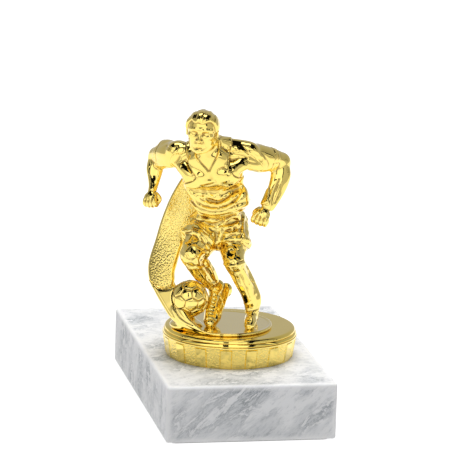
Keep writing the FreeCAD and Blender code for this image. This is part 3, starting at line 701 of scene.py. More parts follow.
def dress(c):
    R = lambda width, amp, *p: mark(c, width, amp, *p)
    # --- shorts: wider than the thighs, cut off at the hems
    w = c.win((-20, -12, 24), (9, 16, 42))
    X, Y, Z = c.xyz(w)
    d = np.full(c.d[w].shape, 6.0, F)
    parts = [c.ell((-5.1, 4.4, 34.5), (10.4, 7.7, 6.4), m=3), c.ell((-9.2, 8.6, 31.2), (6.0, 5.4, 6.6), m=3), c.ell((-1.4, 8.8, 31.2), (6.0, 5.6, 6.6), m=3),
             c.tube([(-7.6, 5.0, 34.0, 6.6), (-10.4, 1.2, 31.0, 6.6), (-13.2, -3.2, 28.2, 6.5), (-15.4, -6.4, 26.2, 6.0)], m=3),
             c.tube([(-0.8, 5.4, 34.0, 6.4), (0.1, 1.4, 30.0, 6.4), (0.5, -2.6, 26.6, 6.0), (0.9, -6.0, 23.6, 5.4)], m=3)]
    for wd, dd in parts:
        v = tuple(slice(max(wd[i].start, w[i].start), min(wd[i].stop, w[i].stop)) for i in range(3))
        o = tuple(slice(v[i].start - w[i].start, v[i].stop - w[i].start) for i in range(3))
        o2 = tuple(slice(v[i].start - wd[i].start, v[i].stop - wd[i].start) for i in range(3))
        d[o] = smin(d[o], dd[o2], 1.0)
    # each leg ends at its own plane, along the thigh
    nr, nl = np.array([-0.62, -0.70, -0.36]), np.array([0.10, -0.62, -0.78])
    nr, nl = nr / np.linalg.norm(nr), nl / np.linalg.norm(nl)
    pr, pl = np.array([-12.9, -4.6, 29.9]), np.array([1.0, -3.0, 28.5])
    cutr = (X - F(pr[0])) * F(nr[0]) + (Y - F(pr[1])) * F(nr[1]) + (Z - F(pr[2])) * F(nr[2])
    cutl = (X - F(pl[0])) * F(nl[0]) + (Y - F(pl[1])) * F(nl[1]) + (Z - F(pl[2])) * F(nl[2])
    side = smooth01((X + F(5.6)) / F(1.6) + F(0.5))
    cutp = cutr * (1 - side) + cutl * side
    shell = smax(d, cutp.astype(F), 0.5)
    c.d[w] = smin(c.d[w], shell.astype(F), 0.25)


def smooth01(t):
    t = np.clip(t, 0, 1)
    return t * t * (3 - 2 * t)


def loose_vest(c):
    """The vest hangs loose from the chest over the belly, with a hollow under the chest; its swags and rolled hem come
    in vest_folds.
    """
    A, T, L = (lambda wd, k=0.6: c.add(wd, k)), c.tube, c.ell
    A(L((-4.6, -1.0, 43.4), (9.3, 6.6, 5.6), (TS, TF, TU)), 1.6)
    A(L((1.6, -0.8, 45.2), (3.5, 4.6, 5.0), (TS, TF, TU)), 1.0)
    # hollow under the chest
    mark(c, 1.9, -3.2, (372, 574, 0.3), (430, 588, 1), (500, 596, 1.1), (590, 584, 1), (650, 570, 0.5))
    mark(c, 1.2, -1.6, (440, 640, 0.4), (500, 650, 1), (560, 640, 1), (610, 610, 0.5))


def vest_folds(c):
    R = lambda width, amp, *p: mark(c, width, 1.45 * amp, *p)
    # chest: low edge of each breast, and the shallow valley between them
    R(0.9, 0.30, (352, 556, 0.4), (398, 560, 1), (436, 542, 1), (470, 528, 1), (512, 528, 0.7))
    R(0.5, -0.30, (428, 552, 0.6), (470, 545, 1), (518, 532, 1), (520, 520, 0.5))
    R(0.7, 0.25, (560, 545, 0.4), (600, 556, 1), (648, 556, 1), (668, 546, 0.3))
    R(1.1, -0.14, (482, 470, 0.6), (500, 505, 1), (520, 535, 0.6))
    R(0.45, -0.22, (545, 440, 0.4), (570, 432, 1), (592, 440, 0.4))
    R(0.7, 0.2, (575, 520, 0.5), (600, 505, 1), (625, 480, 0.6), (640, 450, 0.4))
    R(0.32, -0.5, (346, 400, 0.5), (360, 444, 1), (378, 474, 1), (400, 496, 0.8))
    R(0.3, -0.4, (600, 360, 0.5), (606, 420, 1), (612, 462, 0.8))
    # swags
    R(1.2, -0.75, (366, 572, 0.5), (420, 584, 1), (490, 590, 1), (556, 586, 1), (622, 574, 0.7))
    R(0.75, 0.75, (350, 580, 0.7), (385, 622, 1), (430, 650, 1), (490, 668, 1), (545, 668, 0.9), (600, 640, 0.9), (650, 600, 0.8))
    R(0.5, -0.55, (362, 600, 0.6), (396, 642, 1), (440, 670, 1), (500, 686, 1), (560, 682, 1), (620, 655, 1), (660, 622, 0.6))
    R(0.7, 0.55, (366, 608, 0.6), (400, 662, 1), (450, 692, 1), (510, 704, 1), (580, 694, 1), (640, 664, 1), (676, 640, 0.6))
    R(0.6, 0.6, (470, 600, 0.6), (500, 626, 1), (540, 636, 0.9), (590, 612, 0.7), (620, 590, 0.4))
    R(0.42, -0.6, (486, 640, 0.7), (510, 652, 1), (548, 650, 1), (575, 632, 0.6))
    R(0.5, 0.55, (560, 672, 0.7), (600, 660, 1), (640, 625, 1), (664, 596, 0.7))
    R(0.38, -0.5, (590, 650, 0.6), (625, 628, 1), (652, 600, 0.8))
    R(0.42, 0.4, (430, 620, 0.5), (455, 640, 1), (478, 664, 0.6))
    R(0.35, -0.4, (440, 612, 0.5), (470, 622, 1), (492, 615, 0.6))
    # side lobe under the arm
    R(2.0, 0.5, (704, 580, 0.7), (708, 610, 1), (712, 640, 0.7))
    # rolled hem
    R(0.62, 0.75, (368, 655, 0.8), (404, 694, 1), (452, 718, 1), (505, 728, 1), (585, 716, 1), (650, 692, 1), (700, 674, 0.9), (728, 664, 0.6))
    R(0.3, -0.4, (362, 640, 0.6), (402, 678, 1), (456, 704, 1), (510, 714, 1), (580, 703, 1), (640, 682, 0.8))
    R(0.34, -0.6, (376, 682, 0.8), (430, 730, 1), (495, 746, 1), (589, 734, 1), (680, 706, 1), (726, 694, 0.6))
    # straps: a fine welt along each edge
    for pts in ([(338, 290), (345, 360), (354, 418), (374, 462), (396, 494)], [(398, 372), (424, 404), (452, 435), (481, 459), (508, 416), (536, 362), (546, 312), (549, 270)],
                [(611, 305), (607, 380), (611, 430), (628, 476)]):
        R(0.26, 0.2, *pts)
    # back: folds from the shoulder blades to the hem
    for i, (a, b, e) in enumerate(((-7.5, -4.5, 1.0), (-3.0, -2.0, 0.7), (2.0, 1.4, 0.7), (6.5, 4.6, 1.0), (9.5, 8.2, 0.8))):
        rows = []
        for cc in (23, 18, 13, 9.0):
            aa = a + (b - a) * (23 - cc) / 14.0
            q = c.skin(trunk(aa, 0, cc), -TF, 16)
            rows.append(tuple(q) + (0.3 + 0.7 * math.sin(math.pi * min(1, (24 - cc) / 12.0)),))
        c.line(rows, 0.8, 0.45 * e * (1 if i % 2 else -1))
    rows = []
    for t in np.linspace(-1, 1, 13):                              # hem round the back
        q = c.skin(trunk(9.5 * t, 0, 8.0 + 0.5 * math.sin(5 * t)), np.array([1.4 * t, 1.0, 0.15]), 16)
        rows.append(tuple(q))
    c.line(rows, 0.6, 0.6)


def crumple(c, lo, hi, size, amp, seed, where=None):
    """Small irregular dents and creases over the surface in a box."""
    w = c.win(lo, hi)
    X, Y, Z = np.broadcast_arrays(*c.xyz(w))
    near = np.abs(c.d[w]) < 1.0
    x, y, z = X[near] / F(size), Y[near] / F(size), Z[near] / F(size)
    r = np.random.RandomState(seed)
    wx = sum(np.sin(x * a + y * b + z * e + p) for a, b, e, p in r.uniform(-1.6, 1.6, (3, 4)))
    wy = sum(np.sin(x * a + y * b + z * e + p) for a, b, e, p in r.uniform(-1.6, 1.6, (3, 4)))
    n = 0
    for i in range(5):
        a, b, e = r.normal(size=3)
        k = 3.2 / math.sqrt(a * a + b * b + e * e) * (0.8 + 0.25 * i)
        n = n + (1 - 2 * np.abs(np.sin((x * a + y * b + z * e) * k * 0.5 + 0.7 * wx * (i % 2) + 0.7 * wy * ((i + 1) % 2) + 1.7 * i))) / (1.0 + 0.35 * i)
    fade = smooth01((F(1.0) - np.abs(c.d[w][near])) / F(0.5))
    lo, hi = np.array(lo), np.array(hi)
    for q, i in ((X, 0), (Y, 1), (Z, 2)):
        v = q[near]
        fade = fade * smooth01((v - F(lo[i])) / F(1.5)) * smooth01((F(hi[i]) - v) / F(1.5))
    if where is not None:
        fade = fade * where(X[near], Y[near], Z[near])
    c.d[w][near] = c.d[w][near]
    sub = c.d[w]
    sub[near] -= (F(amp) * n * fade).astype(F)
    c.d[w] = sub


def shorts_folds(c):
    R = lambda width, amp, *p: mark(c, width, 1.25 * amp, *p)
    # waist folds fanning to the hips and to the crotch
    R(0.6, 0.5, (392, 742, 0.6), (440, 762, 1), (500, 778, 1), (560, 776, 0.8), (596, 760, 0.5))
    R(0.4, -0.5, (384, 760, 0.5), (436, 784, 1), (496, 800, 1), (556, 794, 0.7))
    R(0.6, 0.5, (378, 790, 0.6), (420, 812, 1), (470, 846, 1), (500, 890, 0.8))
    R(0.42, -0.5, (372, 806, 0.6), (412, 836, 1), (448, 872, 1), (476, 910, 0.6))
    R(0.55, 0.45, (356, 822, 0.6), (392, 846, 1), (424, 880, 0.8), (440, 905, 0.4))
    R(0.34, -0.4, (398, 778, 0.7), (432, 800, 1), (470, 815, 0.7))
    R(0.36, 0.45, (420, 790, 0.5), (444, 808, 1), (476, 830, 0.7), (508, 850, 0.4))
    R(0.5, -0.6, (520, 800, 0.5), (528, 850, 1), (524, 900, 1), (514, 932, 0.8))
    R(0.5, 0.45, (548, 780, 0.5), (556, 830, 1), (548, 880, 1), (530, 915, 0.8))
    R(0.36, 0.4, (490, 800, 0.5), (508, 840, 1), (508, 880, 0.8))
    # stacked cross wrinkles on the left thigh
    R(0.5, 0.6, (586, 738, 0.5), (620, 722, 1), (660, 712, 1), (692, 706, 0.6))
    R(0.42, -0.6, (590, 752, 0.7), (626, 742, 1), (670, 732, 1), (696, 728, 0.6))
    R(0.55, 0.6, (584, 782, 0.5), (606, 768, 1), (640, 752, 1), (676, 746, 0.7))
    R(0.42, -0.6, (582, 796, 0.6), (612, 790, 1), (652, 776, 1), (694, 772, 0.7))
    R(0.55, 0.55, (580, 818, 0.6), (616, 812, 1), (656, 798, 1), (692, 800, 0.7))
    R(0.4, -0.6, (588, 838, 0.7), (626, 832, 1), (664, 822, 1), (700, 826, 0.7))
    R(0.5, 0.55, (582, 860, 0.6), (618, 852, 1), (660, 846, 1), (698, 852, 0.6))
    R(0.36, -0.55, (596, 874, 0.7), (630, 870, 1), (676, 868, 0.9), (700, 880, 0.5))
    R(0.34, 0.4, (650, 760, 0.6), (672, 790, 1), (664, 820, 0.7))
    R(0.3, 0.4, (612, 800, 0.6), (632, 830, 1), (620, 858, 0.7))
    R(0.7, 0.5, (700, 715, 0.6), (705, 770, 1), (700, 830, 1), (704, 890, 0.8))             # side seam
    R(0.34, -0.35, (690, 735, 0.6), (694, 790, 1), (690, 850, 0.8))
    # hems
    R(0.34, 0.42, (322, 868, 0.8), (360, 852, 1), (398, 866, 1), (430, 898, 1), (462, 930, 1), (500, 944, 0.7))
    R(0.24, -0.3, (330, 852, 0.6), (366, 838, 1), (404, 852, 1), (440, 884, 1), (474, 912, 0.6))
    R(0.36, 0.45, (532, 930, 0.7), (566, 912, 1), (620, 912, 1), (680, 908, 1), (722, 930, 1), (738, 950, 0.6))
    R(0.24, -0.35, (544, 912, 0.6), (580, 896, 1), (630, 894, 1), (690, 890, 1), (730, 905, 0.6))
    # seat
    for x0, x1 in ((-10.5, -7.0), (-3.4, -4.6), (1.8, -1.6)):
        rows = []
        for z in (38, 34.5, 31, 28):
            q = c.skin((x0 + (x1 - x0) * (38 - z) / 10, 2.0, z), (0.0, 1, 0.0), 16)
            rows.append(tuple(q) + (0.4 + 0.6 * math.sin(math.pi * (38.5 - z) / 11),))
        c.line(rows, 0.6, 0.4)


def muscles(c):
    R = lambda width, amp, *p: mark(c, width, amp, *p)
    # image-left shoulder and arm
    R(0.5, -0.42, (318, 330, 0.5), (296, 352, 1), (276, 386, 1), (262, 402, 0.5))            # front of the deltoid
    R(0.4, -0.35, (330, 380, 0.6), (300, 400, 1), (280, 408, 0.6))
    R(0.6, 0.3, (310, 300, 0.5), (270, 330, 1), (248, 370, 0.8), (244, 400, 0.4))
    R(0.5, -0.3, (208, 292, 0.7), (228, 312, 1), (250, 320, 0.5))
    R(0.5, 0.25, (190, 420, 0.5), (230, 430, 1), (280, 452, 0.6))
    R(0.4, -0.22, (168, 452, 0.6), (156, 500, 1), (150, 550, 0.5))
    R(0.5, 0.2, (110, 420, 0.5), (108, 480, 1), (112, 540, 0.5))
    R(0.35, -0.25, (110, 380, 0.5), (130, 404, 1), (160, 412, 0.5))
    # image-right shoulder and arm
    R(0.5, -0.45, (612, 330, 0.5), (650, 348, 1), (706, 356, 1), (726, 372, 0.6))
    R(0.5, 0.35, (616, 302, 0.5), (660, 316, 1), (712, 334, 0.8), (730, 350, 0.4))
    R(0.5, -0.4, (612, 388, 0.5), (640, 380, 1), (684, 368, 1), (730, 368, 0.6))
    R(0.6, -0.4, (700, 300, 0.5), (726, 330, 1), (740, 360, 0.8), (790, 386, 0.8), (824, 380, 0.5))
    R(0.6, 0.3, (745, 312, 0.5), (780, 330, 1), (806, 352, 0.9), (812, 376, 0.5))
    R(0.45, -0.35, (820, 345, 0.5), (846, 372, 1), (862, 412, 0.8), (850, 440, 0.4))
    R(0.5, 0.25, (700, 420, 0.5), (750, 440, 1), (810, 446, 0.8))
    R(0.4, -0.3, (706, 380, 0.5), (744, 398, 1), (790, 406, 0.6))
    R(0.35, -0.35, (892, 412, 0.6), (916, 400, 1), (934, 412, 0.9), (926, 432, 0.5))
    R(0.42, -0.36, (936, 505, 0.7), (912, 560, 1), (892, 620, 1), (880, 672, 1), (874, 700, 0.4))
    R(0.42, 0.3, (920, 512, 0.6), (894, 566, 1), (872, 630, 0.9), (862, 672, 0.5))
    R(0.4, -0.3, (942, 540, 0.6), (926, 600, 1), (904, 655, 0.8))
    # image-left knee and shin
    R(0.55, 0.35, (352, 950, 0.6), (372, 936, 1), (394, 950, 1), (398, 985, 1), (384, 1008, 1), (356, 1004, 0.7), (344, 978, 0.6))
    R(0.34, -0.34, (338, 912, 0.8), (352, 926, 1), (384, 922, 1), (404, 938, 0.6))
    R(0.32, -0.3, (330, 992, 0.7), (352, 1016, 1), (384, 1020, 1), (404, 1000, 0.6))
    R(0.5, 0.35, (364, 1030, 0.6), (400, 1072, 1), (440, 1124, 1), (476, 1174, 1), (500, 1210, 0.6))
    R(0.42, -0.35, (402, 1000, 0.5), (436, 1040, 1), (470, 1084, 1), (500, 1140, 0.8), (526, 1180, 0.5))
    R(0.45, 0.3, (436, 1010, 0.5), (470, 1040, 1), (500, 1090, 1), (522, 1140, 0.7))
    # sock cuff and sock folds
    R(0.42, 0.42, (340, 1062, 0.8), (364, 1078, 1), (400, 1078, 1), (436, 1074, 1), (470, 1064, 0.8))
    R(0.3, -0.34, (334, 1046, 0.6), (366, 1062, 1), (402, 1062, 1), (440, 1056, 0.8))
    R(0.4, 0.3, (478, 1168, 0.6), (508, 1178, 1), (540, 1160, 0.8))
    R(0.34, -0.3, (470, 1190, 0.6), (506, 1196, 1), (548, 1172, 0.8))
    # image-right knee and shin
    R(0.55, 0.35, (596, 958, 0.6), (616, 946, 1), (644, 958, 1), (650, 990, 1), (630, 1020, 1), (600, 1012, 0.7), (590, 984, 0.6))
    R(0.34, -0.34, (590, 930, 0.8), (616, 930, 1), (652, 944, 0.8))
    R(0.32, -0.34, (586, 1024, 0.7), (612, 1040, 1), (650, 1032, 0.9))
    R(0.42, 0.42, (574, 1052, 0.8), (610, 1066, 1), (650, 1062, 1), (700, 1046, 1), (730, 1040, 0.6))
    R(0.3, -0.34, (582, 1034, 0.6), (614, 1048, 1), (652, 1044, 1), (700, 1026, 0.8))
    R(0.5, 0.42, (622, 1080, 0.6), (644, 1130, 1), (670, 1190, 1), (694, 1250, 1), (708, 1300, 0.7))
    R(0.42, -0.4, (660, 1090, 0.6), (690, 1140, 1), (718, 1200, 1), (742, 1262, 0.8))
    R(0.5, 0.35, (700, 1090, 0.6), (730, 1140, 1), (760, 1190, 1), (780, 1240, 0.8))
    R(0.4, -0.35, (620, 1070, 0.5), (650, 1100, 1), (676, 1098, 0.8))
    R(0.4, 0.35, (700, 1300, 0.6), (720, 1312, 1), (756, 1300, 0.8))
    R(0.34, -0.3, (696, 1320, 0.6), (724, 1334, 1), (764, 1322, 0.8))
    # calves from behind
    for rows in ([(-9.5, 6, 22), (-7.6, 6, 18), (-5.6, 6, 14.6)], [(4.6, 8, 19), (6.6, 8, 14.6), (8.2, 8, 10.4)]):
        pts = [tuple(c.skin((x, -3.0 if x > 0 else -2.0, z), (0, 1, 0), 12)) for x, y, z in rows]
        c.line(pts, 0.5, -0.3)
    # spine and shoulder blades above the vest
    pts = [tuple(c.skin(trunk(-0.4, 0, cc), -TF, 16)) for cc in (31, 26, 21, 16, 11)]
    c.line(pts, 0.8, -0.45)
    for m in (-1, 1):
        pts = [tuple(c.skin(trunk(m * a, 0, cc), -TF, 16)) for a, cc in ((3.0, 25.5), (3.6, 21.5), (5.4, 18.5), (8.0, 18.5))]
        c.line(pts, 0.7, 0.4)


def boots(c):
    R = lambda width, amp, *p: mark(c, width, amp, *p)
    # right boot: collar, tongue and laces, toe cap, welt above the sole
    R(0.36, 0.42, (478, 1228, 0.8), (506, 1238, 1), (540, 1232, 1), (568, 1206, 0.8))
    R(0.24, -0.3, (474, 1246, 0.7), (506, 1256, 1), (544, 1250, 0.8))
    for i in range(5):
        y = 1262 + i * 24
        x = 496 - i * 3.0
        R(0.24, 0.3, (x - 22, y + 6, 0.7), (x, y, 1), (x + 24, y + 10, 0.7))
    R(0.3, 0.3, (474, 1250, 0.6), (468, 1300, 1), (460, 1360, 0.8), (456, 1400, 0.6))
    R(0.3, 0.3, (530, 1256, 0.6), (522, 1310, 1), (508, 1370, 0.8), (500, 1410, 0.6))
    R(0.24, -0.3, (452, 1416, 0.8), (480, 1402, 1), (520, 1410, 0.8))
    R(0.28, 0.35, (606, 1200, 0.6), (600, 1250, 1), (580, 1310, 1), (556, 1370, 1), (545, 1420, 0.6))
    R(0.22, -0.3, (590, 1200, 0.6), (584, 1250, 1), (566, 1306, 1), (544, 1366, 0.8))
    R(0.3, 0.25, (556, 1230, 0.6), (552, 1280, 1), (536, 1330, 0.6))
    # left boot
    R(0.36, 0.4, (696, 1352, 0.8), (724, 1364, 1), (764, 1360, 1), (800, 1340, 0.8))
    R(0.24, -0.3, (694, 1366, 0.8), (724, 1380, 1), (766, 1376, 0.8))
    for i in range(4):
        y = 1388 + i * 17
        R(0.22, 0.28, (704, y + 5, 0.7), (724, y, 1), (748, y + 5, 0.7))
    R(0.26, 0.28, (698, 1386, 0.6), (694, 1420, 1), (690, 1450, 0.6))
    R(0.26, 0.28, (756, 1380, 0.6), (758, 1410, 1), (756, 1446, 0.6))
    R(0.24, -0.3, (690, 1448, 0.7), (716, 1456, 1), (752, 1450, 0.7))


def arm_ring(c, name):
    """A shallow collar round the upper arm, where the forearm plugs in."""
    o, d = JOINTS[name]
    w = c.win(o - 6.5, o + 6.5)
    X, Y, Z = c.xyz(w)
    x, y, z = X - F(o[0]), Y - F(o[1]), Z - F(o[2])
    p = x * F(d[0]) + y * F(d[1]) + z * F(d[2])
    near = smooth01((F(7.0) - np.sqrt(x * x + y * y + z * z)) / F(1.5))
    ring = F(0.15) * smooth01((F(1.25) - np.abs(p)) / F(0.14))
    groove = F(0.12) * (np.exp(-((np.abs(p) - F(1.32)) / F(0.12)) ** 2) + np.exp(-(p / F(0.1)) ** 2))
    c.d[w] -= (near * (ring - groove)).astype(F)


def sculpt():
    c = build_body()
    dress(c)
    loose_vest(c)
    c.blur(6)
    muscles(c)
    garment(c, (-22, -16, 38), (12, 12, 68), vest_region, 0.5, 0.18)
    vest_folds(c)
    shorts_folds(c)
    crumple(c, (-19, -13, 26), (8, 14, 41), 3.4, 0.26, 3)
    crumple(c, (-15, -13, 27), (4.5, 0, 40), 2.8, 0.20, 21)
    crumple(c, (-14, -13, 41), (2.5, 2, 50), 3.0, 0.14, 5, lambda X, Y, Z: smooth01((-2.0 - Y) / 2.0))
    crumple(c, (-12, -14, 42), (2, 0, 50.5), 2.2, 0.27, 12, lambda X, Y, Z: smooth01((-3.0 - Y) / 2.0))
    build_feet(c)
    crumple(c, (-17, -13, 6), (11, 8, 23), 3.4, 0.05, 8)
    crumple(c, (-12, -13, 0), (11, 8, 9), 2.0, 0.04, 9)
    boots(c)
    fist(c, (-29.28, -1.9, 44.5), (-0.08, -0.5, -0.86), (0.35, 0.55, -0.3), (1.0, 0.2, 0.0), 0.98)
    fist(c, (10.2, -5.5, 40.4), (-0.42, -0.4, -0.81), (0.1, 0.75, -0.4), (-1.0, 0.2, 0.4), 1.12)
    build_head(c)
    hair(c)
    arm_ring(c, "right")
    arm_ring(c, "left")
    c.blur(1)
    c.cut(c.ell(BALL_C, (BALL_R + 0.05,) * 3), 0.0)
    return c


# ---------------------------------------------------------------- plinth and cradle
PLINTH_C, PLINTH_R = (-2.0, -1.5), 17.0
RIBBON = [  # centre x, y, z, half width, half thickness, side x, y, z
    (-9.6, 10.3, 55.0, 1.2, 0.55, 1.0, -0.05, -0.10), (-11.6, 10.8, 52.0, 3.4, 0.8, 1.0, -0.05, -0.12),
    (-13.4, 10.9, 48.0, 5.2, 0.9, 1.0, -0.05, -0.12), (-16.9, 9.9, 40.6, 5.9, 0.95, 0.99, -0.05, -0.10),
    (-20.2, 8.3, 33.4, 5.5, 1.0, 0.98, -0.10, -0.10), (-22.7, 5.7, 26.4, 5.2, 1.05, 0.95, -0.28, -0.08),
    (-24.5, 3.1, 20.4, 5.3, 1.1, 0.95, -0.25, 0.10), (-24.9, 1.2, 16.8, 4.9, 1.1, 0.94, -0.15, 0.20),
    (-24.3, -0.6, 13.8, 4.4, 1.1, 0.94, -0.05, 0.22), (-23.6, -2.1, 11.4, 3.2, 0.9, 0.94, 0.0, 0.22), (-23.0, -2.9, 9.9, 2.4, 0.8, 0.94, 0.0, 0.22)]


def cradle():
    c = Clay((-32.5, -20.5, -2.2), (17.0, 17.0, 22.0), VOX)
    T, L = c.tube, c.ell
    w = c.win(c.lo, (17, 17, 3.0))
    X, Y, Z = c.xyz(w)
    rad = np.sqrt((X - F(PLINTH_C[0])) ** 2 + (Y - F(PLINTH_C[1])) ** 2)
    r = F(0.3)
    qx, qz = rad - F(PLINTH_R) + r, np.abs(Z + F(0.5)) - F(0.5) + r
    disc = np.sqrt(np.maximum(qx, 0) ** 2 + np.maximum(qz, 0) ** 2) + np.minimum(np.maximum(qx, qz), 0) - r
    lip = np.sqrt((rad - F(16.45)) ** 2 + (Z + F(0.12)) ** 2) - F(0.42)
    c.d[w] = smin(disc, lip, 0.35)
    # the cradle: a broad smooth sweep that cups the ball and runs out into the plinth's rim
    edge = [(-28.9, -1.0, 14.6), (-28.2, -2.2, 12.9), (-26.9, -3.6, 10.8), (-25.6, -5.2, 8.9), (-23.4, -7.5, 6.0), (-21.0, -9.6, 3.2), (-17.8, -11.9, 1.2), (-14.2, -14.0, 0.1), (-10.4, -15.7, -0.3)]
    w, d = c.strip(edge, (7.6, 7.8, 8.2, 8.4, 7.8, 6.8, 5.2, 3.4, 1.8), (1.0, 1.1, 1.3, 1.35, 1.35, 1.3, 1.1, 0.8, 0.5), (-0.04, -1.0, -0.10))
    X, Y, Z = c.xyz(w)
    d = smax(d, (Z - F(12.3) - F(0.085) * (X + F(24.0)) ** 2) * F(0.8), 0.4)
    c.add((w, d), 0.9)
    c.add(c.strip([(-28.4, 3.0, 17.0), (-27.8, 1.6, 13.8), (-25.9, -0.6, 10.6), (-23.8, -3.4, 7.6)], (7.4, 7.2, 6.6, 6.0), (1.0, 1.3, 1.5, 1.3), (0.0, -1.0, 0.3)), 1.2)
    c.add(T([(-23.6, 1.6, 14.6, 1.8), (-22.4, 0.2, 11.6, 2.3), (-20.6, -1.6, 7.6, 2.8), (-18.0, -3.6, 4.0, 3.0), (-15.0, -5.2, 1.4, 2.8)]), 1.6)
    c.add(L((-15.6, -6.8, 0.3), (5.8, 6.2, 1.8)), 1.2)
    c.blur(3)
    # rim where the pebbled sheet ends, and the thin upper lip that becomes the plinth's edge
    c.add(T([(-28.9, -1.1, 14.3, 0.3), (-27.6, -2.2, 13.3, 0.42), (-25.8, -2.9, 12.5, 0.45), (-24.0, -3.2, 12.3, 0.45), (-22.4, -3.3, 12.5, 0.45), (-21.0, -3.1, 13.0, 0.3)]), 0.5)
    mark(c, 0.36, 0.55, (246, 1325, 0.5), (258, 1355, 1), (280, 1390, 1), (315, 1420, 1), (356, 1443, 1), (420, 1472, 1), (495, 1497, 0.6))
    mark(c, 0.32, -0.35, (262, 1330, 0.5), (276, 1360, 1), (298, 1392, 1), (332, 1418, 1), (372, 1438, 0.6))
    mark(c, 0.3, -0.35, (118, 1186, 0.5), (150, 1240, 1), (185, 1300, 1), (215, 1350, 1), (240, 1385, 0.5))
    c.cut(c.ell(BALL_C, (BALL_R + 0.02,) * 3), 0.0)
    # nothing below the plinth
    w = c.win(c.lo, (17, 17, 0.6))
    X, Y, Z = c.xyz(w)
    c.d[w] = smax(c.d[w], (F(-1.0) - Z) + 0 * c.d[w], 0.0)
    return c
# === sculpt ends


def arm_side(name, P):
    """Below 0 on the forearm's side of an arm joint."""
    o, d = JOINTS[name]
    X, Y, Z = P
    p = (X - F(o[0])) * F(d[0]) + (Y - F(o[1])) * F(d[1]) + (Z - F(o[2])) * F(d[2])
    if name == "right":
        return np.maximum(np.minimum(-p, Z - F(53.8)), X + F(21.5))
    reach = np.maximum(-(F(0.8) * (X - F(6.2)) - F(0.6) * (Y + F(3.0))), F(36.0) - Z)
    return np.maximum(np.minimum(-p, Z - F(53.0)), reach)


def parting(z):
    q = spline([(a, b) for b, a in PART], 12)
    return np.interp(z, q[:, 0], q[:, 1])


def near_plane(name):
    o, d = JOINTS[name]

    def value(p):
        r = p - o
        v = r @ d
        return np.where(np.linalg.norm(r, axis=1) < 7.0, v, 9.0)
    return value, lambda p: np.tile(d, (len(p), 1))


def near_parting(sign=1.0):
    def value(p):
        return p[:, 1] - parting(p[:, 2])

    def gradient(p):
        g = np.zeros((len(p), 3))
        g[:, 1] = 1.0
        g[:, 2] = -(parting(p[:, 2] + 0.1) - parting(p[:, 2] - 0.1)) / 0.2
        return g
    return value, gradient


# ---------------------------------------------------------------- pieces
def make(name, verts, faces, body, nodes, material, smooth=40.0, attr=None):
    me = bpy.data.meshes.new(name)
    verts = np.asarray(verts, np.float32)
    faces = np.asarray(faces, np.int32)
    me.vertices.add(len(verts))
    me.vertices.foreach_set("co", verts.ravel())
    k = faces.shape[1]
    me.loops.add(faces.size)
    me.loops.foreach_set("vertex_index", faces.ravel())
    me.polygons.add(len(faces))
    me.polygons.foreach_set("loop_start", np.arange(0, faces.size, k, dtype=np.int32))
    me.polygons.foreach_set("loop_total", np.full(len(faces), k, np.int32))
    me.update(calc_edges=True)
    me.validate()
    me.polygons.foreach_set("use_smooth", np.ones(len(me.polygons), bool))
    if smooth is not None:
        me.set_sharp_from_angle(angle=math.radians(smooth))
    if attr is not None:
        a = me.attributes.new("pebbled", "FLOAT", "POINT")
        a.data.foreach_set("value", np.asarray(attr, np.float32))
    me.materials.append(material)
    ob = bpy.data.objects.new(name, me)
    bpy.context.scene.collection.objects.link(ob)
    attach(ob, body)
    if nodes:
        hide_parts(*nodes)
    return ob


def rowed(verts):
    """Figure frame, millimetres -> row frame, metres."""
    m = np.array(TO_ROW)
    return np.asarray(verts) @ m[:3, :3].T + m[:3, 3]


def from_clay(name, clay, field, lo, hi, cuts, body, nodes, material, smooth=55.0):
    w = clay.win(lo, hi)
    sub = Clay.__new__(Clay)
    sub.h = clay.h
    sub.lo = np.array([clay.ax[i][w[i]][0] for i in range(3)], float)
    sub.ax = [clay.ax[i][w[i]] for i in range(3)]
    sub.n = np.array([len(a) for a in sub.ax])
    sub.d = field[w].copy()
    for i in range(3):                      # closed at the window's sides
        for e in (0, -1):
            s_ = [slice(None)] * 3
            s_[i] = e
            sub.d[tuple(s_)] = np.maximum(sub.d[tuple(s_)], 0.05)
    verts, quads = sub.nets()
    verts = finish_mesh(clay, verts, quads, cuts)
    return make(name, rowed(verts), quads, body, nodes, material, smooth)


def pebbles(P, size):
    """Distance-to-nearest-pebble pattern, 0 between pebbles and 1 on their tops."""
    q = P / size
    base = np.floor(q).astype(np.int64)
    best = np.full(len(P), 9.0)
    for i in (-1, 0, 1):
        for j in (-1, 0, 1):
            for k in (-1, 0, 1):
                cell = base + (i, j, k)
                h = (cell[:, 0] * 73856093) ^ (cell[:, 1] * 19349663) ^ (cell[:, 2] * 83492791)
                h = (h ^ (h >> 13)) * 1274126177 & 0xFFFFFFFF
                jit = np.stack([((h >> s_) & 255) / 255.0 for s_ in (0, 8, 16)], 1)
                best = np.minimum(best, (((cell + jit) - q) ** 2).sum(1))
    return np.exp(-best * 3.2)


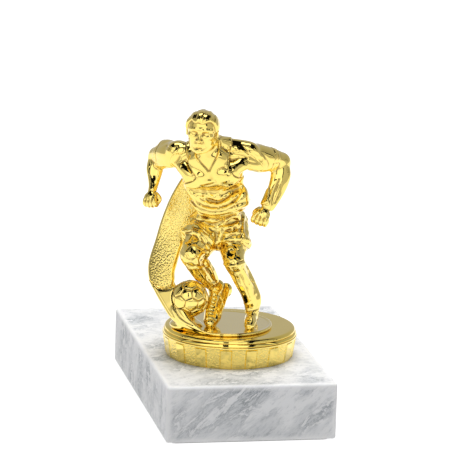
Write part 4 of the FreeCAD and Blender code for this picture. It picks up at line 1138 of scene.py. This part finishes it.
def football_mesh():
    import bmesh
    bm = bmesh.new()
    bmesh.ops.create_icosphere(bm, subdivisions=7, radius=1.0)
    v = np.array([x.co[:] for x in bm.verts])
    f = np.array([[x.index for x in p.verts] for p in bm.faces])
    bm.free()
    g = (1 + 5 ** 0.5) / 2
    ico = np.array([(0, a, b * g) for a in (-1, 1) for b in (-1, 1)] + [(a, b * g, 0) for a in (-1, 1) for b in (-1, 1)]
                   + [(b * g, 0, a) for a in (-1, 1) for b in (-1, 1)], float)
    ico /= np.linalg.norm(ico[0])
    hexes = []
    for i in range(12):
        for j in range(i + 1, 12):
            for k in range(j + 1, 12):
                if min(ico[i] @ ico[j], ico[j] @ ico[k], ico[i] @ ico[k]) > 0.4:
                    m = ico[i] + ico[j] + ico[k]
                    hexes.append(m / np.linalg.norm(m))
    turn = np.array(Matrix.Rotation(0.55, 3, "X") @ Matrix.Rotation(-0.35, 3, "Y") @ Matrix.Rotation(0.3, 3, "Z"))
    five, six = ico @ turn.T, np.array(hexes) @ turn.T
    s5, s6 = v @ five.T / 0.9393, v @ six.T / 0.9150
    al = np.sort(np.hstack([s5, s6]), 1)
    gap = (al[:, -1] - al[:, -2]) / 0.74 * BALL_R
    pent = s5.max(1) > s6.max(1)
    r = BALL_R - 0.05 - 0.30 * np.exp(-(gap / 0.26) ** 2) - 0.07 * np.exp(-(gap / 0.7) ** 2)
    r = r - np.where(pent, 0.16 * np.clip((gap - 0.15) / 0.35, 0, 1), 0)
    # the stitched panels are a little uneven
    r = r + 0.035 * np.sin(v[:, 0] * 9 + 2 * v[:, 2]) * np.sin(v[:, 1] * 8 + 1.0) * np.sin(v[:, 2] * 9)
    return v * r[:, None] + BALL_C, f


def ribbon_mesh():
    """The motion trail: a bowed sheet with a pebbled front and smooth round edges."""
    n = 420
    rows = spline(RIBBON, max(2, n // (len(RIBBON) - 1)))
    C, W, H, S = rows[:, :3], rows[:, 3], rows[:, 4], rows[:, 5:8]
    S = S / np.linalg.norm(S, axis=1)[:, None]
    T = np.gradient(C, axis=0)
    T /= np.linalg.norm(T, axis=1)[:, None]
    N = np.cross(S, T)                     # towards the front
    N /= np.linalg.norm(N, axis=1)[:, None]
    N *= np.where(N[:, 1:2] > 0, -1, 1)
    S = np.cross(N, T)
    S *= np.where(S[:, :1] < 0, -1, 1)
    m = 180
    flat, rim = m, m // 8
    x = np.concatenate([np.linspace(-1, 1, flat), np.ones(rim), np.linspace(1, -1, flat // 2), -np.ones(rim)])
    kind = np.concatenate([np.zeros(flat), np.ones(rim), 2 * np.ones(flat // 2), 3 * np.ones(rim)])
    ang = np.concatenate([np.full(flat, math.pi / 2), np.linspace(math.pi / 2, -math.pi / 2, rim + 2)[1:-1],
                          np.full(flat // 2, -math.pi / 2), np.linspace(-math.pi / 2, -3 * math.pi / 2, rim + 2)[1:-1]])
    K = len(x)
    P = np.empty((len(C), K, 3))
    mask = np.zeros((len(C), K))
    for i in range(len(C)):
        w, h = W[i], H[i]
        core = max(w - h, 0.05)
        off = x * core + np.where((kind == 1) | (kind == 3), np.cos(ang) * h, 0)
        lift = np.sin(ang) * h
        bow = 0.7 * (1 - (off / w) ** 2)
        P[i] = C[i] + off[:, None] * S[i] + (lift + bow - 0.4)[:, None] * N[i]
        mask[i] = np.where(kind == 0, 1.0, 0.0) * np.clip((core - np.abs(off)) / 0.35, 0, 1)
    P0 = P.reshape(-1, 3)
    mk = mask.reshape(-1)
    nn = np.repeat(N, K, axis=0)
    bump = pebbles(P0, 0.6)
    P0 = P0 + nn * ((bump - 0.45) * 0.13 * mk)[:, None]
    a = np.arange(len(C) - 1)[:, None] * K
    b = np.arange(K)[None, :]
    b2 = (b + 1) % K
    quads = np.stack([a + b, a + b2, a + K + b2, a + K + b], -1).reshape(-1, 4)
    # closed ends
    verts = np.vstack([P0, P[0].mean(0), P[-1].mean(0)])
    tris = []
    for j in range(K):
        tris.append((len(P0), (j + 1) % K, j, j))
        e = (len(C) - 1) * K
        tris.append((len(P0) + 1, e + j, e + (j + 1) % K, e + (j + 1) % K))
    return verts, quads, np.array([t[:3] for t in tris]), np.concatenate([mk, [0, 0]])


def outward(verts, tris):
    """Faces turned so that the closed mesh has a positive volume."""
    a, b, c = (verts[tris[:, i]] for i in range(3))
    return tris if (np.cross(a, b) * c).sum() > 0 else tris[:, ::-1]


def lathe(profile, segments, wall=None):
    """Closed solid of revolution about the screw axis, row frame, metres. wall(angle, z, r) may move a point outwards."""
    p = np.array(profile, float)
    ang = np.arange(segments) * 2 * math.pi / segments
    A, R = np.meshgrid(ang, p[:, 0])
    _, Z = np.meshgrid(ang, p[:, 1])
    mk = np.zeros_like(R)
    if wall is not None:
        R, mk = wall(A, Z, R)
    x, y = R * np.cos(A), R * np.sin(A) + AXIS_Y
    V = np.stack([x, y, Z], -1).reshape(-1, 3) / 1000
    n = segments
    i = np.arange(len(p) - 1)[:, None] * n
    j = np.arange(n)[None, :]
    j2 = (j + 1) % n
    quads = np.stack([i + j, i + j2, i + n + j2, i + n + j], -1).reshape(-1, 4)
    ends = np.array([[0, AXIS_Y / 1000, p[0, 1] / 1000], [0, AXIS_Y / 1000, p[-1, 1] / 1000]])
    V = np.vstack([V, ends])
    e = (len(p) - 1) * n
    k = np.arange(n)
    k2 = (k + 1) % n
    tris = np.vstack([np.stack([np.full(n, len(V) - 2), k2, k], 1), np.stack([np.full(n, len(V) - 1), e + k, e + k2], 1)])
    tris = np.vstack([quads[:, [0, 1, 2]], quads[:, [0, 2, 3]], tris])
    return V, tris, np.concatenate([mk.reshape(-1), [0, 0]])


def fillet(points, radii, n=6):
    """A profile with its corners rounded."""
    p = [np.array(q, float) for q in points]
    out = [p[0]]
    for i in range(1, len(p) - 1):
        r = radii[i]
        a, b = p[i - 1] - p[i], p[i + 1] - p[i]
        la, lb = np.linalg.norm(a), np.linalg.norm(b)
        a, b = a / la, b / lb
        r = min(r, 0.8 * la, 0.8 * lb)
        if r <= 0:
            out.append(p[i])
            continue
        for k in range(n + 1):
            t = k / n
            out.append((1 - t) ** 2 * (p[i] + a * r) + 2 * t * (1 - t) * p[i] + t * t * (p[i] + b * r))
    out.append(p[-1])
    return out


# ---------------------------------------------------------------- materials
def tree(name):
    m = bpy.data.materials.new(name)
    m.use_nodes = True
    nt = m.node_tree
    bsdf = nt.nodes["Principled BSDF"]
    co = nt.nodes.new("ShaderNodeTexCoord")
    return m, nt, bsdf, co


def node(nt, kind, **kw):
    n = nt.nodes.new(kind)
    for k, v in kw.items():
        if k in n.inputs:
            n.inputs[k].default_value = v
        else:
            setattr(n, k, v)
    return n


def noise(nt, vector, scale, detail=3.0, rough=0.5, distortion=0.0):
    n = node(nt, "ShaderNodeTexNoise", Scale=scale, Detail=detail, Roughness=rough, Distortion=distortion)
    nt.links.new(vector, n.inputs["Vector"])
    return n.outputs["Fac"]


def ramp(nt, fac, stops):
    n = nt.nodes.new("ShaderNodeValToRGB")
    e = n.color_ramp.elements
    while len(e) < len(stops):
        e.new(0.5)
    for x, (pos, col) in zip(e, stops):
        x.position = pos
        x.color = (*col, 1.0) if not isinstance(col, float) else (col, col, col, 1.0)
    nt.links.new(fac, n.inputs["Fac"])
    return n.outputs["Color"]


def gold(name, rough=0.055, bump=0.02, pebbled=False, tone=1.0, coat=0.6, painted_crease_shade=0.0):
    m, nt, b, co = tree(name)
    L = nt.links.new
    obj = co.outputs["Object"]
    tint = ramp(nt, noise(nt, obj, 90.0, 4.0), [(0.3, (0.945 * tone, 0.722 * tone, 0.175 * tone)), (0.7, (0.98 * tone, 0.762 * tone, 0.20 * tone))])
    if painted_crease_shade > 0:
        # painted shade: the base colour turns dark brown down in the creases, found by pointiness, standing in for the
        # shade that falls there
        geo = nt.nodes.new("ShaderNodeNewGeometry")
        mx = node(nt, "ShaderNodeMix", data_type="RGBA")
        amount = node(nt, "ShaderNodeMath", operation="MULTIPLY")
        L(ramp(nt, geo.outputs["Pointiness"], [(0.43, 1.0), (0.482, 0.75), (0.498, 0.0)]), amount.inputs[0])
        amount.inputs[1].default_value = painted_crease_shade
        L(amount.outputs[0], mx.inputs[0])
        L(tint, mx.inputs[6])
        # dark brown of the painted crease shade
        mx.inputs[7].default_value = (0.30, 0.15, 0.012, 1)
        tint = mx.outputs[2]
    L(tint, b.inputs["Base Color"])
    b.inputs["Metallic"].default_value = 1.0
    b.inputs["Coat Weight"].default_value = coat
    b.inputs["Coat Roughness"].default_value = 0.03
    r = node(nt, "ShaderNodeMapRange")
    r.inputs["To Min"].default_value, r.inputs["To Max"].default_value = rough * 0.6, rough * 1.5
    L(noise(nt, obj, 260.0, 5.0, 0.6), r.inputs["Value"])
    rough_out = r.outputs["Result"]
    fine = node(nt, "ShaderNodeBump", Strength=0.35, Distance=0.00002 * bump / 0.02)
    L(noise(nt, obj, 700.0, 3.0), fine.inputs["Height"])
    normal = fine.outputs["Normal"]
    if pebbled:
        at = node(nt, "ShaderNodeAttribute", attribute_name="pebbled")
        v = node(nt, "ShaderNodeTexVoronoi", Scale=2300.0, feature="SMOOTH_F1")
        L(obj, v.inputs["Vector"])
        grain = node(nt, "ShaderNodeBump", Strength=0.5, Distance=0.00006)
        mult = node(nt, "ShaderNodeMath", operation="MULTIPLY")
        L(v.outputs["Distance"], mult.inputs[0])
        L(at.outputs["Fac"], mult.inputs[1])
        L(mult.outputs[0], grain.inputs["Height"])
        L(normal, grain.inputs["Normal"])
        normal = grain.outputs["Normal"]
        add = node(nt, "ShaderNodeMath", operation="MULTIPLY_ADD")
        L(at.outputs["Fac"], add.inputs[0])
        add.inputs[1].default_value = 0.12
        L(rough_out, add.inputs[2])
        rough_out = add.outputs[0]
    L(rough_out, b.inputs["Roughness"])
    L(normal, b.inputs["Normal"])
    return m


def steel(name, base, rough, scale, metallic=1.0):
    m, nt, b, co = tree(name)
    L = nt.links.new
    o = co.outputs["Object"]
    c2 = tuple(x * 0.8 for x in base)
    L(ramp(nt, noise(nt, o, scale, 5.0, 0.6), [(0.3, c2), (0.7, base)]), b.inputs["Base Color"])
    b.inputs["Metallic"].default_value = metallic
    r = node(nt, "ShaderNodeMapRange")
    r.inputs["To Min"].default_value, r.inputs["To Max"].default_value = rough * 0.8, rough * 1.3
    L(noise(nt, o, scale * 3, 4.0), r.inputs["Value"])
    L(r.outputs["Result"], b.inputs["Roughness"])
    bp = node(nt, "ShaderNodeBump", Strength=0.3, Distance=0.00004)
    L(noise(nt, o, scale * 6, 4.0, 0.7), bp.inputs["Height"])
    L(bp.outputs["Normal"], b.inputs["Normal"])
    return m


def felt_material():
    m, nt, b, co = tree("felt")
    L = nt.links.new
    o = co.outputs["Object"]
    L(ramp(nt, noise(nt, o, 1800.0, 6.0, 0.75), [(0.25, (0.50, 0.50, 0.49)), (0.75, (0.66, 0.66, 0.65))]), b.inputs["Base Color"])
    b.inputs["Roughness"].default_value = 0.95
    bp = node(nt, "ShaderNodeBump", Strength=0.8, Distance=0.0002)
    L(noise(nt, o, 2600.0, 6.0, 0.8), bp.inputs["Height"])
    L(bp.outputs["Normal"], b.inputs["Normal"])
    return m


def marble_material():
    m, nt, b, co = tree("marble")
    L = nt.links.new
    mp = node(nt, "ShaderNodeMapping")
    # streaks lean: long along one slanting direction, short across it
    mp.inputs["Rotation"].default_value = (math.radians(18), math.radians(40), 0.0)
    L(co.outputs["Object"], mp.inputs["Vector"])
    st = node(nt, "ShaderNodeMapping")
    st.inputs["Scale"].default_value = (0.40, 0.95, 1.25)
    L(mp.outputs["Vector"], st.inputs["Vector"])
    v = st.outputs["Vector"]
    cloud = noise(nt, v, 60.0, 5.0, 0.60, 0.4)
    vein = noise(nt, v, 210.0, 10.0, 0.74, 0.5)
    fleck = noise(nt, v, 700.0, 6.0, 0.74, 0.3)
    grain = noise(nt, co.outputs["Object"], 1500.0, 3.0, 0.6)
    # thin dark threads where the vein noise passes its middle
    a = node(nt, "ShaderNodeMath", operation="SUBTRACT")
    L(vein, a.inputs[0])
    a.inputs[1].default_value = 0.5
    ab = node(nt, "ShaderNodeMath", operation="ABSOLUTE")
    L(a.outputs[0], ab.inputs[0])
    thread = ramp(nt, ab.outputs[0], [(0.0, 1.0), (0.02, 0.5), (0.07, 0.0)])
    patch = ramp(nt, cloud, [(0.44, 0.0), (0.60, 1.0)])
    tm = node(nt, "ShaderNodeMath", operation="MULTIPLY")
    L(thread, tm.inputs[0])
    L(patch, tm.inputs[1])
    shade = ramp(nt, vein, [(0.48, 0.0), (0.64, 1.0)])
    sm = node(nt, "ShaderNodeMath", operation="MULTIPLY")
    L(shade, sm.inputs[0])
    L(ramp(nt, cloud, [(0.38, 0.12), (0.62, 1.0)]), sm.inputs[1])
    fl = ramp(nt, fleck, [(0.52, 0.0), (0.70, 1.0)])

    def mixc(fac, k, c1, col):
        n = node(nt, "ShaderNodeMix", data_type="RGBA")
        n.inputs[7].default_value = (*col, 1)
        mu = node(nt, "ShaderNodeMath", operation="MULTIPLY")
        mu.inputs[1].default_value = k
        L(fac, mu.inputs[0])
        L(mu.outputs[0], n.inputs[0])
        if isinstance(c1, tuple):
            n.inputs[6].default_value = (*c1, 1)
        else:
            L(c1, n.inputs[6])
        return n.outputs[2]
    c = mixc(sm.outputs[0], 0.78, (0.90, 0.905, 0.915), (0.42, 0.45, 0.48))
    c = mixc(tm.outputs[0], 0.95, c, (0.18, 0.21, 0.24))
    c = mixc(fl, 0.55, c, (0.40, 0.43, 0.46))
    c = mixc(grain, 0.08, c, (0.70, 0.71, 0.73))
    # painted highlight: the edges are painted paler, standing in for the light caught on the rounded edges; nearness to
    # an edge is the middle one of the three distances to the faces
    lo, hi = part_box("marble_base")
    sep = nt.nodes.new("ShaderNodeSeparateXYZ")
    L(co.outputs["Object"], sep.inputs[0])

    def m2(op, p, q=None):
        n = node(nt, "ShaderNodeMath", operation=op)
        for i, x in enumerate((p, q)):
            if isinstance(x, (int, float)):
                n.inputs[i].default_value = x
            elif x is not None:
                L(x, n.inputs[i])
        return n.outputs[0]
    ds = [m2("SUBTRACT", (hi[i] - lo[i]) / 2, m2("ABSOLUTE", m2("SUBTRACT", sep.outputs[i], (hi[i] + lo[i]) / 2))) for i in range(3)]
    mid = m2("MINIMUM", m2("MAXIMUM", ds[0], ds[1]), m2("MINIMUM", m2("MAXIMUM", ds[1], ds[2]), m2("MAXIMUM", ds[0], ds[2])))
    wob = m2("MULTIPLY_ADD", noise(nt, co.outputs["Object"], 160.0, 3.0), 0.0012)
    wob.node.inputs[2].default_value = -0.0006
    painted_edge_highlight = node(nt, "ShaderNodeMapRange")
    L(m2("ADD", mid, wob), painted_edge_highlight.inputs["Value"])
    painted_edge_highlight.inputs["From Min"].default_value, painted_edge_highlight.inputs["From Max"].default_value = 0.0007, 0.0021
    painted_edge_highlight.inputs["To Min"].default_value, painted_edge_highlight.inputs["To Max"].default_value = 1.0, 0.0
    # edges mixed towards near white: a painted highlight
    c = mixc(painted_edge_highlight.outputs["Result"], 0.8, c, (0.97, 0.97, 0.975))
    L(c, b.inputs["Base Color"])
    r = node(nt, "ShaderNodeMapRange")
    r.inputs["To Min"].default_value, r.inputs["To Max"].default_value = 0.34, 0.55
    b.inputs["Specular IOR Level"].default_value = 0.3
    L(grain, r.inputs["Value"])
    L(r.outputs["Result"], b.inputs["Roughness"])
    b.inputs["Subsurface Weight"].default_value = 0.12
    b.inputs["Subsurface Radius"].default_value = (0.004, 0.004, 0.005)
    b.inputs["Subsurface Scale"].default_value = 1.0
    bp = node(nt, "ShaderNodeBump", Strength=0.12, Distance=0.00005)
    L(grain, bp.inputs["Height"])
    L(bp.outputs["Normal"], b.inputs["Normal"])
    return m


def floor_material():
    m, nt, b, co = tree("floor")
    L = nt.links.new
    L(ramp(nt, noise(nt, co.outputs["Object"], 3.0, 3.0), [(0.3, (0.25, 0.25, 0.25)), (0.7, (0.27, 0.27, 0.27))]), b.inputs["Base Color"])
    b.inputs["Roughness"].default_value = 0.9
    b.inputs["Specular IOR Level"].default_value = 0.1
    b.inputs["Emission Color"].default_value = (1, 1, 1, 1)
    # white to the eye, softer in the gold's reflections, dim as a light
    lp = nt.nodes.new("ShaderNodeLightPath")
    k = node(nt, "ShaderNodeMath", operation="MULTIPLY_ADD")
    L(lp.outputs["Is Diffuse Ray"], k.inputs[0])
    k.inputs[1].default_value, k.inputs[2].default_value = -0.58, 0.94
    k0 = k
    k = node(nt, "ShaderNodeMath", operation="MULTIPLY_ADD")
    L(lp.outputs["Is Camera Ray"], k.inputs[0])
    k.inputs[1].default_value = 0.02
    L(k0.outputs[0], k.inputs[2])
    L(k.outputs[0], b.inputs["Emission Strength"])
    return m


# ---------------------------------------------------------------- build
def build_player():
    c = sculpt()
    X, Y, Z = c.xyz((slice(None),) * 3)
    P = (X, Y, Z)
    right, left = arm_side("right", P), arm_side("left", P)
    D = c.d
    skin = gold("gold_figure", 0.034, painted_crease_shade=1.0)
    cut_r, cut_l = near_plane("right"), near_plane("left")
    from_clay("right_arm_piece", c, np.maximum(D, right), (-34, -12, 38), (-20, 14, 68), (cut_r,), "figure", ["right_arm"], skin)
    from_clay("left_arm_piece", c, np.maximum(D, left), (4.5, -14, 34), (22, 12, 66), (cut_l,), "figure", ["left_arm"], skin)
    trunk_field = np.maximum(np.maximum(D, -right), -left)
    f = (Y - F(0)) - parting(np.asarray(c.ax[2], float)).astype(F)[None, None, :] + 0 * X
    cut_f = near_parting()
    from_clay("player_front_piece", c, np.maximum(trunk_field, f), c.lo, c.ax_hi(), (cut_f, cut_r, cut_l), "figure", ["player_front"], skin)
    from_clay("player_back_piece", c, np.maximum(trunk_field, -f), c.lo, c.ax_hi(), (cut_f, cut_r, cut_l), "figure", ["player_back"], skin)


def build_trail():
    c = cradle()
    mat = gold("gold_trail", 0.06, pebbled=True, coat=1.0, painted_crease_shade=0.35)
    ob = from_clay("plinth_and_cradle", c, c.d, c.lo, c.ax_hi(), (), "figure", ["plinth_and_trail"], mat)
    v, q, t, mk = ribbon_mesh()
    tris = outward(v, np.vstack([q[:, [0, 1, 2]], q[:, [0, 2, 3]], t]))
    make("trail_sheet", rowed(v), tris, "figure", ["plinth_and_trail"], mat, 60, mk)
    v, f = football_mesh()
    make("football_piece", rowed(v), f, "figure", ["football"], gold("gold_ball", 0.045, painted_crease_shade=0.8), 60)


def build_riser():
    z0, z1 = 20.6, 27.8
    n = 2160
    nz = 48
    prof = [(6.0, z0), (18.0, z0), (22.2, z0), (22.33, z0 + 0.02)]
    prof += [(22.4 + (23.6 - 22.4) * k / nz, z0 + 0.06 + (z1 - z0 - 0.06) * k / nz) for k in range(nz + 1)]
    prof += [(23.66, z1 + 0.02), (23.82, z1 + 0.08), (23.92, z1 + 0.2), (23.95, z1 + 0.38), (23.95, z1 + 0.56), (23.9, z1 + 0.72), (23.76, z1 + 0.84),
             (23.55, z1 + 0.9), (21.8, z1 + 0.9), (6.0, z1 + 0.9)]

    def wall(A, Z, R):
        deg = (np.degrees(A) + 90 + 2.6 + 11.63 + 360 / 32) % (360 / 16) - 360 / 32
        side = smooth01((4.7 - np.abs(deg)) / 0.22 + 0.5)
        on = ((Z > z0 + 0.05) & (Z < z1 - 0.01)).astype(float)
        # each smooth panel is flat, with a fine dark joint round it
        top = smooth01((z1 - 0.24 - Z) / 0.12)
        flat = (23.6 - R * 0) * (1 - 1 / np.cos(np.radians(np.clip(deg, -4.7, 4.7)))) * -1.0 - 0.04
        joint = np.exp(-((np.abs(deg) - 4.95) / 0.3) ** 2) + 0.8 * np.exp(-((Z - z1 + 0.14) / 0.1) ** 2) * (np.abs(deg) < 5.0)
        run = on * smooth01((Z - z0 - 0.05) / 0.3) * smooth01((z1 - 0.1 - Z) / 0.25)
        P = np.stack([R * np.cos(A), R * np.sin(A), Z], -1).reshape(-1, 3)
        peb = pebbles(P, 0.5).reshape(R.shape)
        rough = run * (1 - side)
        return R + on * ((0.2 + flat) * side * top - 0.16 * joint) + rough * (peb - 0.5) * 0.2, rough

    v, t, mk = lathe(prof, n, wall)
    make("riser_cup_piece", v, outward(v, t), "figure", ["riser_cup"], gold("gold_riser", 0.075, pebbled=True), 35, mk)
    zc = 28.7
    # lower band leans back and bulges, then a fine groove, then the rolled edge of the disc
    band = [(23.8 - 0.42 * t ** 1.5, zc + 0.16 + 0.92 * t) for t in np.linspace(0, 1, 14)]
    roll_ = [(23.24 + 0.34 * math.cos(a_) - 0.30, zc + 1.42 + 0.30 * math.sin(a_)) for a_ in np.linspace(-1.25, 0.45, 10)]
    edge_ = [(21.95 + 1.27 * math.cos(a_), zc + 1.55 + 0.95 * math.sin(a_)) for a_ in np.linspace(0.16, math.pi / 2, 16)]
    prof = [(6.0, zc), (23.55, zc), (23.74, zc + 0.05)] + band + [(23.3, zc + 1.12), (23.22, zc + 1.14)] + roll_ + edge_ + [(21.0, zc + 2.5), (6.0, zc + 2.5)]
    v, t, mk = lathe([tuple(p) for p in prof], 720)
    make("disc_cap_piece", v, outward(v, t), "figure", ["disc_cap"], gold("gold_cap", 0.035, bump=0.008, coat=0.0), 35)


def build_rest():
    table = {"marble_base": marble_material(), "felt_sheet": felt_material(),
             "flat_washer": steel("washer_steel", (0.62, 0.63, 0.64), 0.28, 400.0), "clamp_screw": steel("screw_steel", (0.50, 0.51, 0.53), 0.32, 500.0),
             "thread_insert": steel("insert_brass", (0.72, 0.53, 0.26), 0.3, 450.0)}
    table["lock_washer"] = table["clamp_screw"]
    for name, mat in table.items():
        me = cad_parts[name].data
        me.materials.clear()
        me.materials.append(mat)


def build_stage():
    me = bpy.data.meshes.new("floor")
    me.from_pydata([(-3, -3, 0), (3, -3, 0), (3, 5, 0), (-3, 5, 0)], [], [(0, 1, 2, 3)])
    me.materials.append(floor_material())
    ob = bpy.data.objects.new("floor", me)
    bpy.context.scene.collection.objects.link(ob)

    def area(name, at, to, size, power, spec=True, color=(1, 1, 1)):
        la = bpy.data.lights.new(name, "AREA")
        la.shape = "RECTANGLE"
        la.size, la.size_y = size
        la.energy = power
        la.color = color
        o = bpy.data.objects.new(name, la)
        o.location = at
        o.rotation_euler = (Vector(to) - Vector(at)).to_track_quat("-Z", "Y").to_euler()
        o.visible_glossy = spec
        bpy.context.scene.collection.objects.link(o)
        return o
    area("key", (-0.5, -0.8, 1.1), (0, 0, 0.03), (0.9, 0.9), 2.5, spec=False)
    area("top", (0.1, 0.2, 1.2), (0, 0, 0.0), (1.0, 1.0), 14.5, spec=False)

    # surroundings: a broad white screen ahead, a dark gap over it, a white strip overhead, grey beyond
    w = bpy.data.worlds.new("studio")
    bpy.context.scene.world = w
    w.use_nodes = True
    nt = w.node_tree
    bg = nt.nodes["Background"]
    co = nt.nodes.new("ShaderNodeTexCoord")
    L = nt.links.new

    def dot(vec):
        n = node(nt, "ShaderNodeVectorMath", operation="DOT_PRODUCT")
        L(co.outputs["Generated"], n.inputs[0])
        n.inputs[1].default_value = vec
        return n.outputs["Value"]

    def math_(op, a, b=None):
        n = node(nt, "ShaderNodeMath", operation=op)
        for i, v in enumerate((a, b)):
            if v is None:
                continue
            if isinstance(v, (int, float)):
                n.inputs[i].default_value = v
            else:
                L(v, n.inputs[i])
        return n.outputs[0]
    az = math.radians(CAM_AZ)
    front = dot((math.sin(az), -math.cos(az), 0.0))
    side = dot((math.cos(az), math.sin(az), 0.0))
    up = dot((0.0, 0.0, 1.0))
    # angle over the top: 0 ahead, 90 overhead, 180 behind, in turns of 180
    over = math_("DIVIDE", math_("ARCTAN2", up, front), math.pi)
    arch = ramp(nt, over, [(0.0, 1.05), (0.006, 1.05), (0.009, 0.02), (0.030, 0.02), (0.034, 1.18), (0.06, 1.25), (0.20, 1.40), (0.30, 1.60), (0.315, 1.60), (0.32, 0.004), (0.362, 0.004), (0.367, 0.56), (0.425, 0.50), (0.43, 0.004), (0.49, 0.004),
                           (0.497, 2.4), (0.62, 2.4), (0.627, 0.004), (0.685, 0.004), (0.70, 0.44), (0.80, 0.47), (1.0, 0.50)])
    arch2 = ramp(nt, over, [(0.0, 1.05), (0.006, 1.05), (0.009, 0.02), (0.030, 0.02), (0.034, 1.15), (0.10, 1.25), (0.27, 1.40), (0.285, 0.004), (0.64, 0.004), (0.68, 0.42), (0.80, 0.46), (1.0, 0.50)])
    wing = ramp(nt, over, [(0.0, 0.56), (0.30, 0.54), (0.340, 0.52), (0.346, 0.006), (0.400, 0.006), (0.406, 1.5), (0.450, 1.5), (0.456, 0.006), (0.530, 0.006), (0.540, 0.36), (0.80, 0.46), (1.0, 0.52)])
    flank = ramp(nt, math_("ADD", math_("MULTIPLY", side, 0.5), 0.5), [(0.0, 0.9), (0.10, 0.8), (0.17, 0.0), (0.78, 0.0), (0.82, 0.9), (1.0, 1.0)])
    panel = ramp(nt, math_("ADD", math_("MULTIPLY", side, 0.5), 0.5), [(0.0, 0.0), (0.375, 0.0), (0.385, 1.0), (0.60, 1.0), (0.61, 0.0), (1.0, 0.0)])

    def blend_(fac, c1, c2):
        n = node(nt, "ShaderNodeMix", data_type="RGBA")
        L(fac, n.inputs[0])
        for i, c_ in ((6, c1), (7, c2)):
            if isinstance(c_, tuple):
                n.inputs[i].default_value = c_
            else:
                L(c_, n.inputs[i])
        return n.outputs[2]
    # two dark upright bars in the white screen
    half = math_("ADD", math_("MULTIPLY", side, 0.5), 0.5)
    bars = math_("MULTIPLY", ramp(nt, half, [(0.0, 0.0), (0.418, 0.0), (0.422, 1.0), (0.492, 1.0), (0.496, 0.0), (0.748, 0.0), (0.752, 1.0), (0.822, 1.0), (0.826, 0.0)]),
                 ramp(nt, over, [(0.0, 0.0), (0.10, 0.0), (0.105, 1.0), (0.285, 1.0), (0.29, 0.0)]))
    sky = blend_(flank, blend_(panel, arch2, arch), wing)
    L(blend_(bars, sky, (0.006, 0.006, 0.006, 1)), bg.inputs["Color"])
    lp = nt.nodes.new("ShaderNodeLightPath")
    L(math_("SUBTRACT", 1.0, math_("MULTIPLY", lp.outputs["Is Diffuse Ray"], 0.58)), bg.inputs["Strength"])

    cam = bpy.data.cameras.new("camera")
    cam.sensor_width = 36.0
    cam.lens = CAM_F / 465.0 * 36.0
    cam.clip_start, cam.clip_end = 0.05, 30.0
    cam.dof.use_dof = False
    cam.shift_x = 1.0 / 465.0
    o = bpy.data.objects.new("camera", cam)
    r, u, bk = camera_axes()
    o.matrix_world = Matrix(((r[0], u[0], bk[0], CAM_AT[0] / 1000), (r[1], u[1], bk[1], CAM_AT[1] / 1000),
                             (r[2], u[2], bk[2], CAM_AT[2] / 1000), (0, 0, 0, 1)))
    bpy.context.scene.collection.objects.link(o)
    bpy.context.scene.camera = o
    bpy.context.scene.view_settings.view_transform = "Standard"
    bpy.context.scene.view_settings.look = "None"


build_player()
build_trail()
build_riser()
build_rest()
build_stage()
bpy.context.view_layer.update()
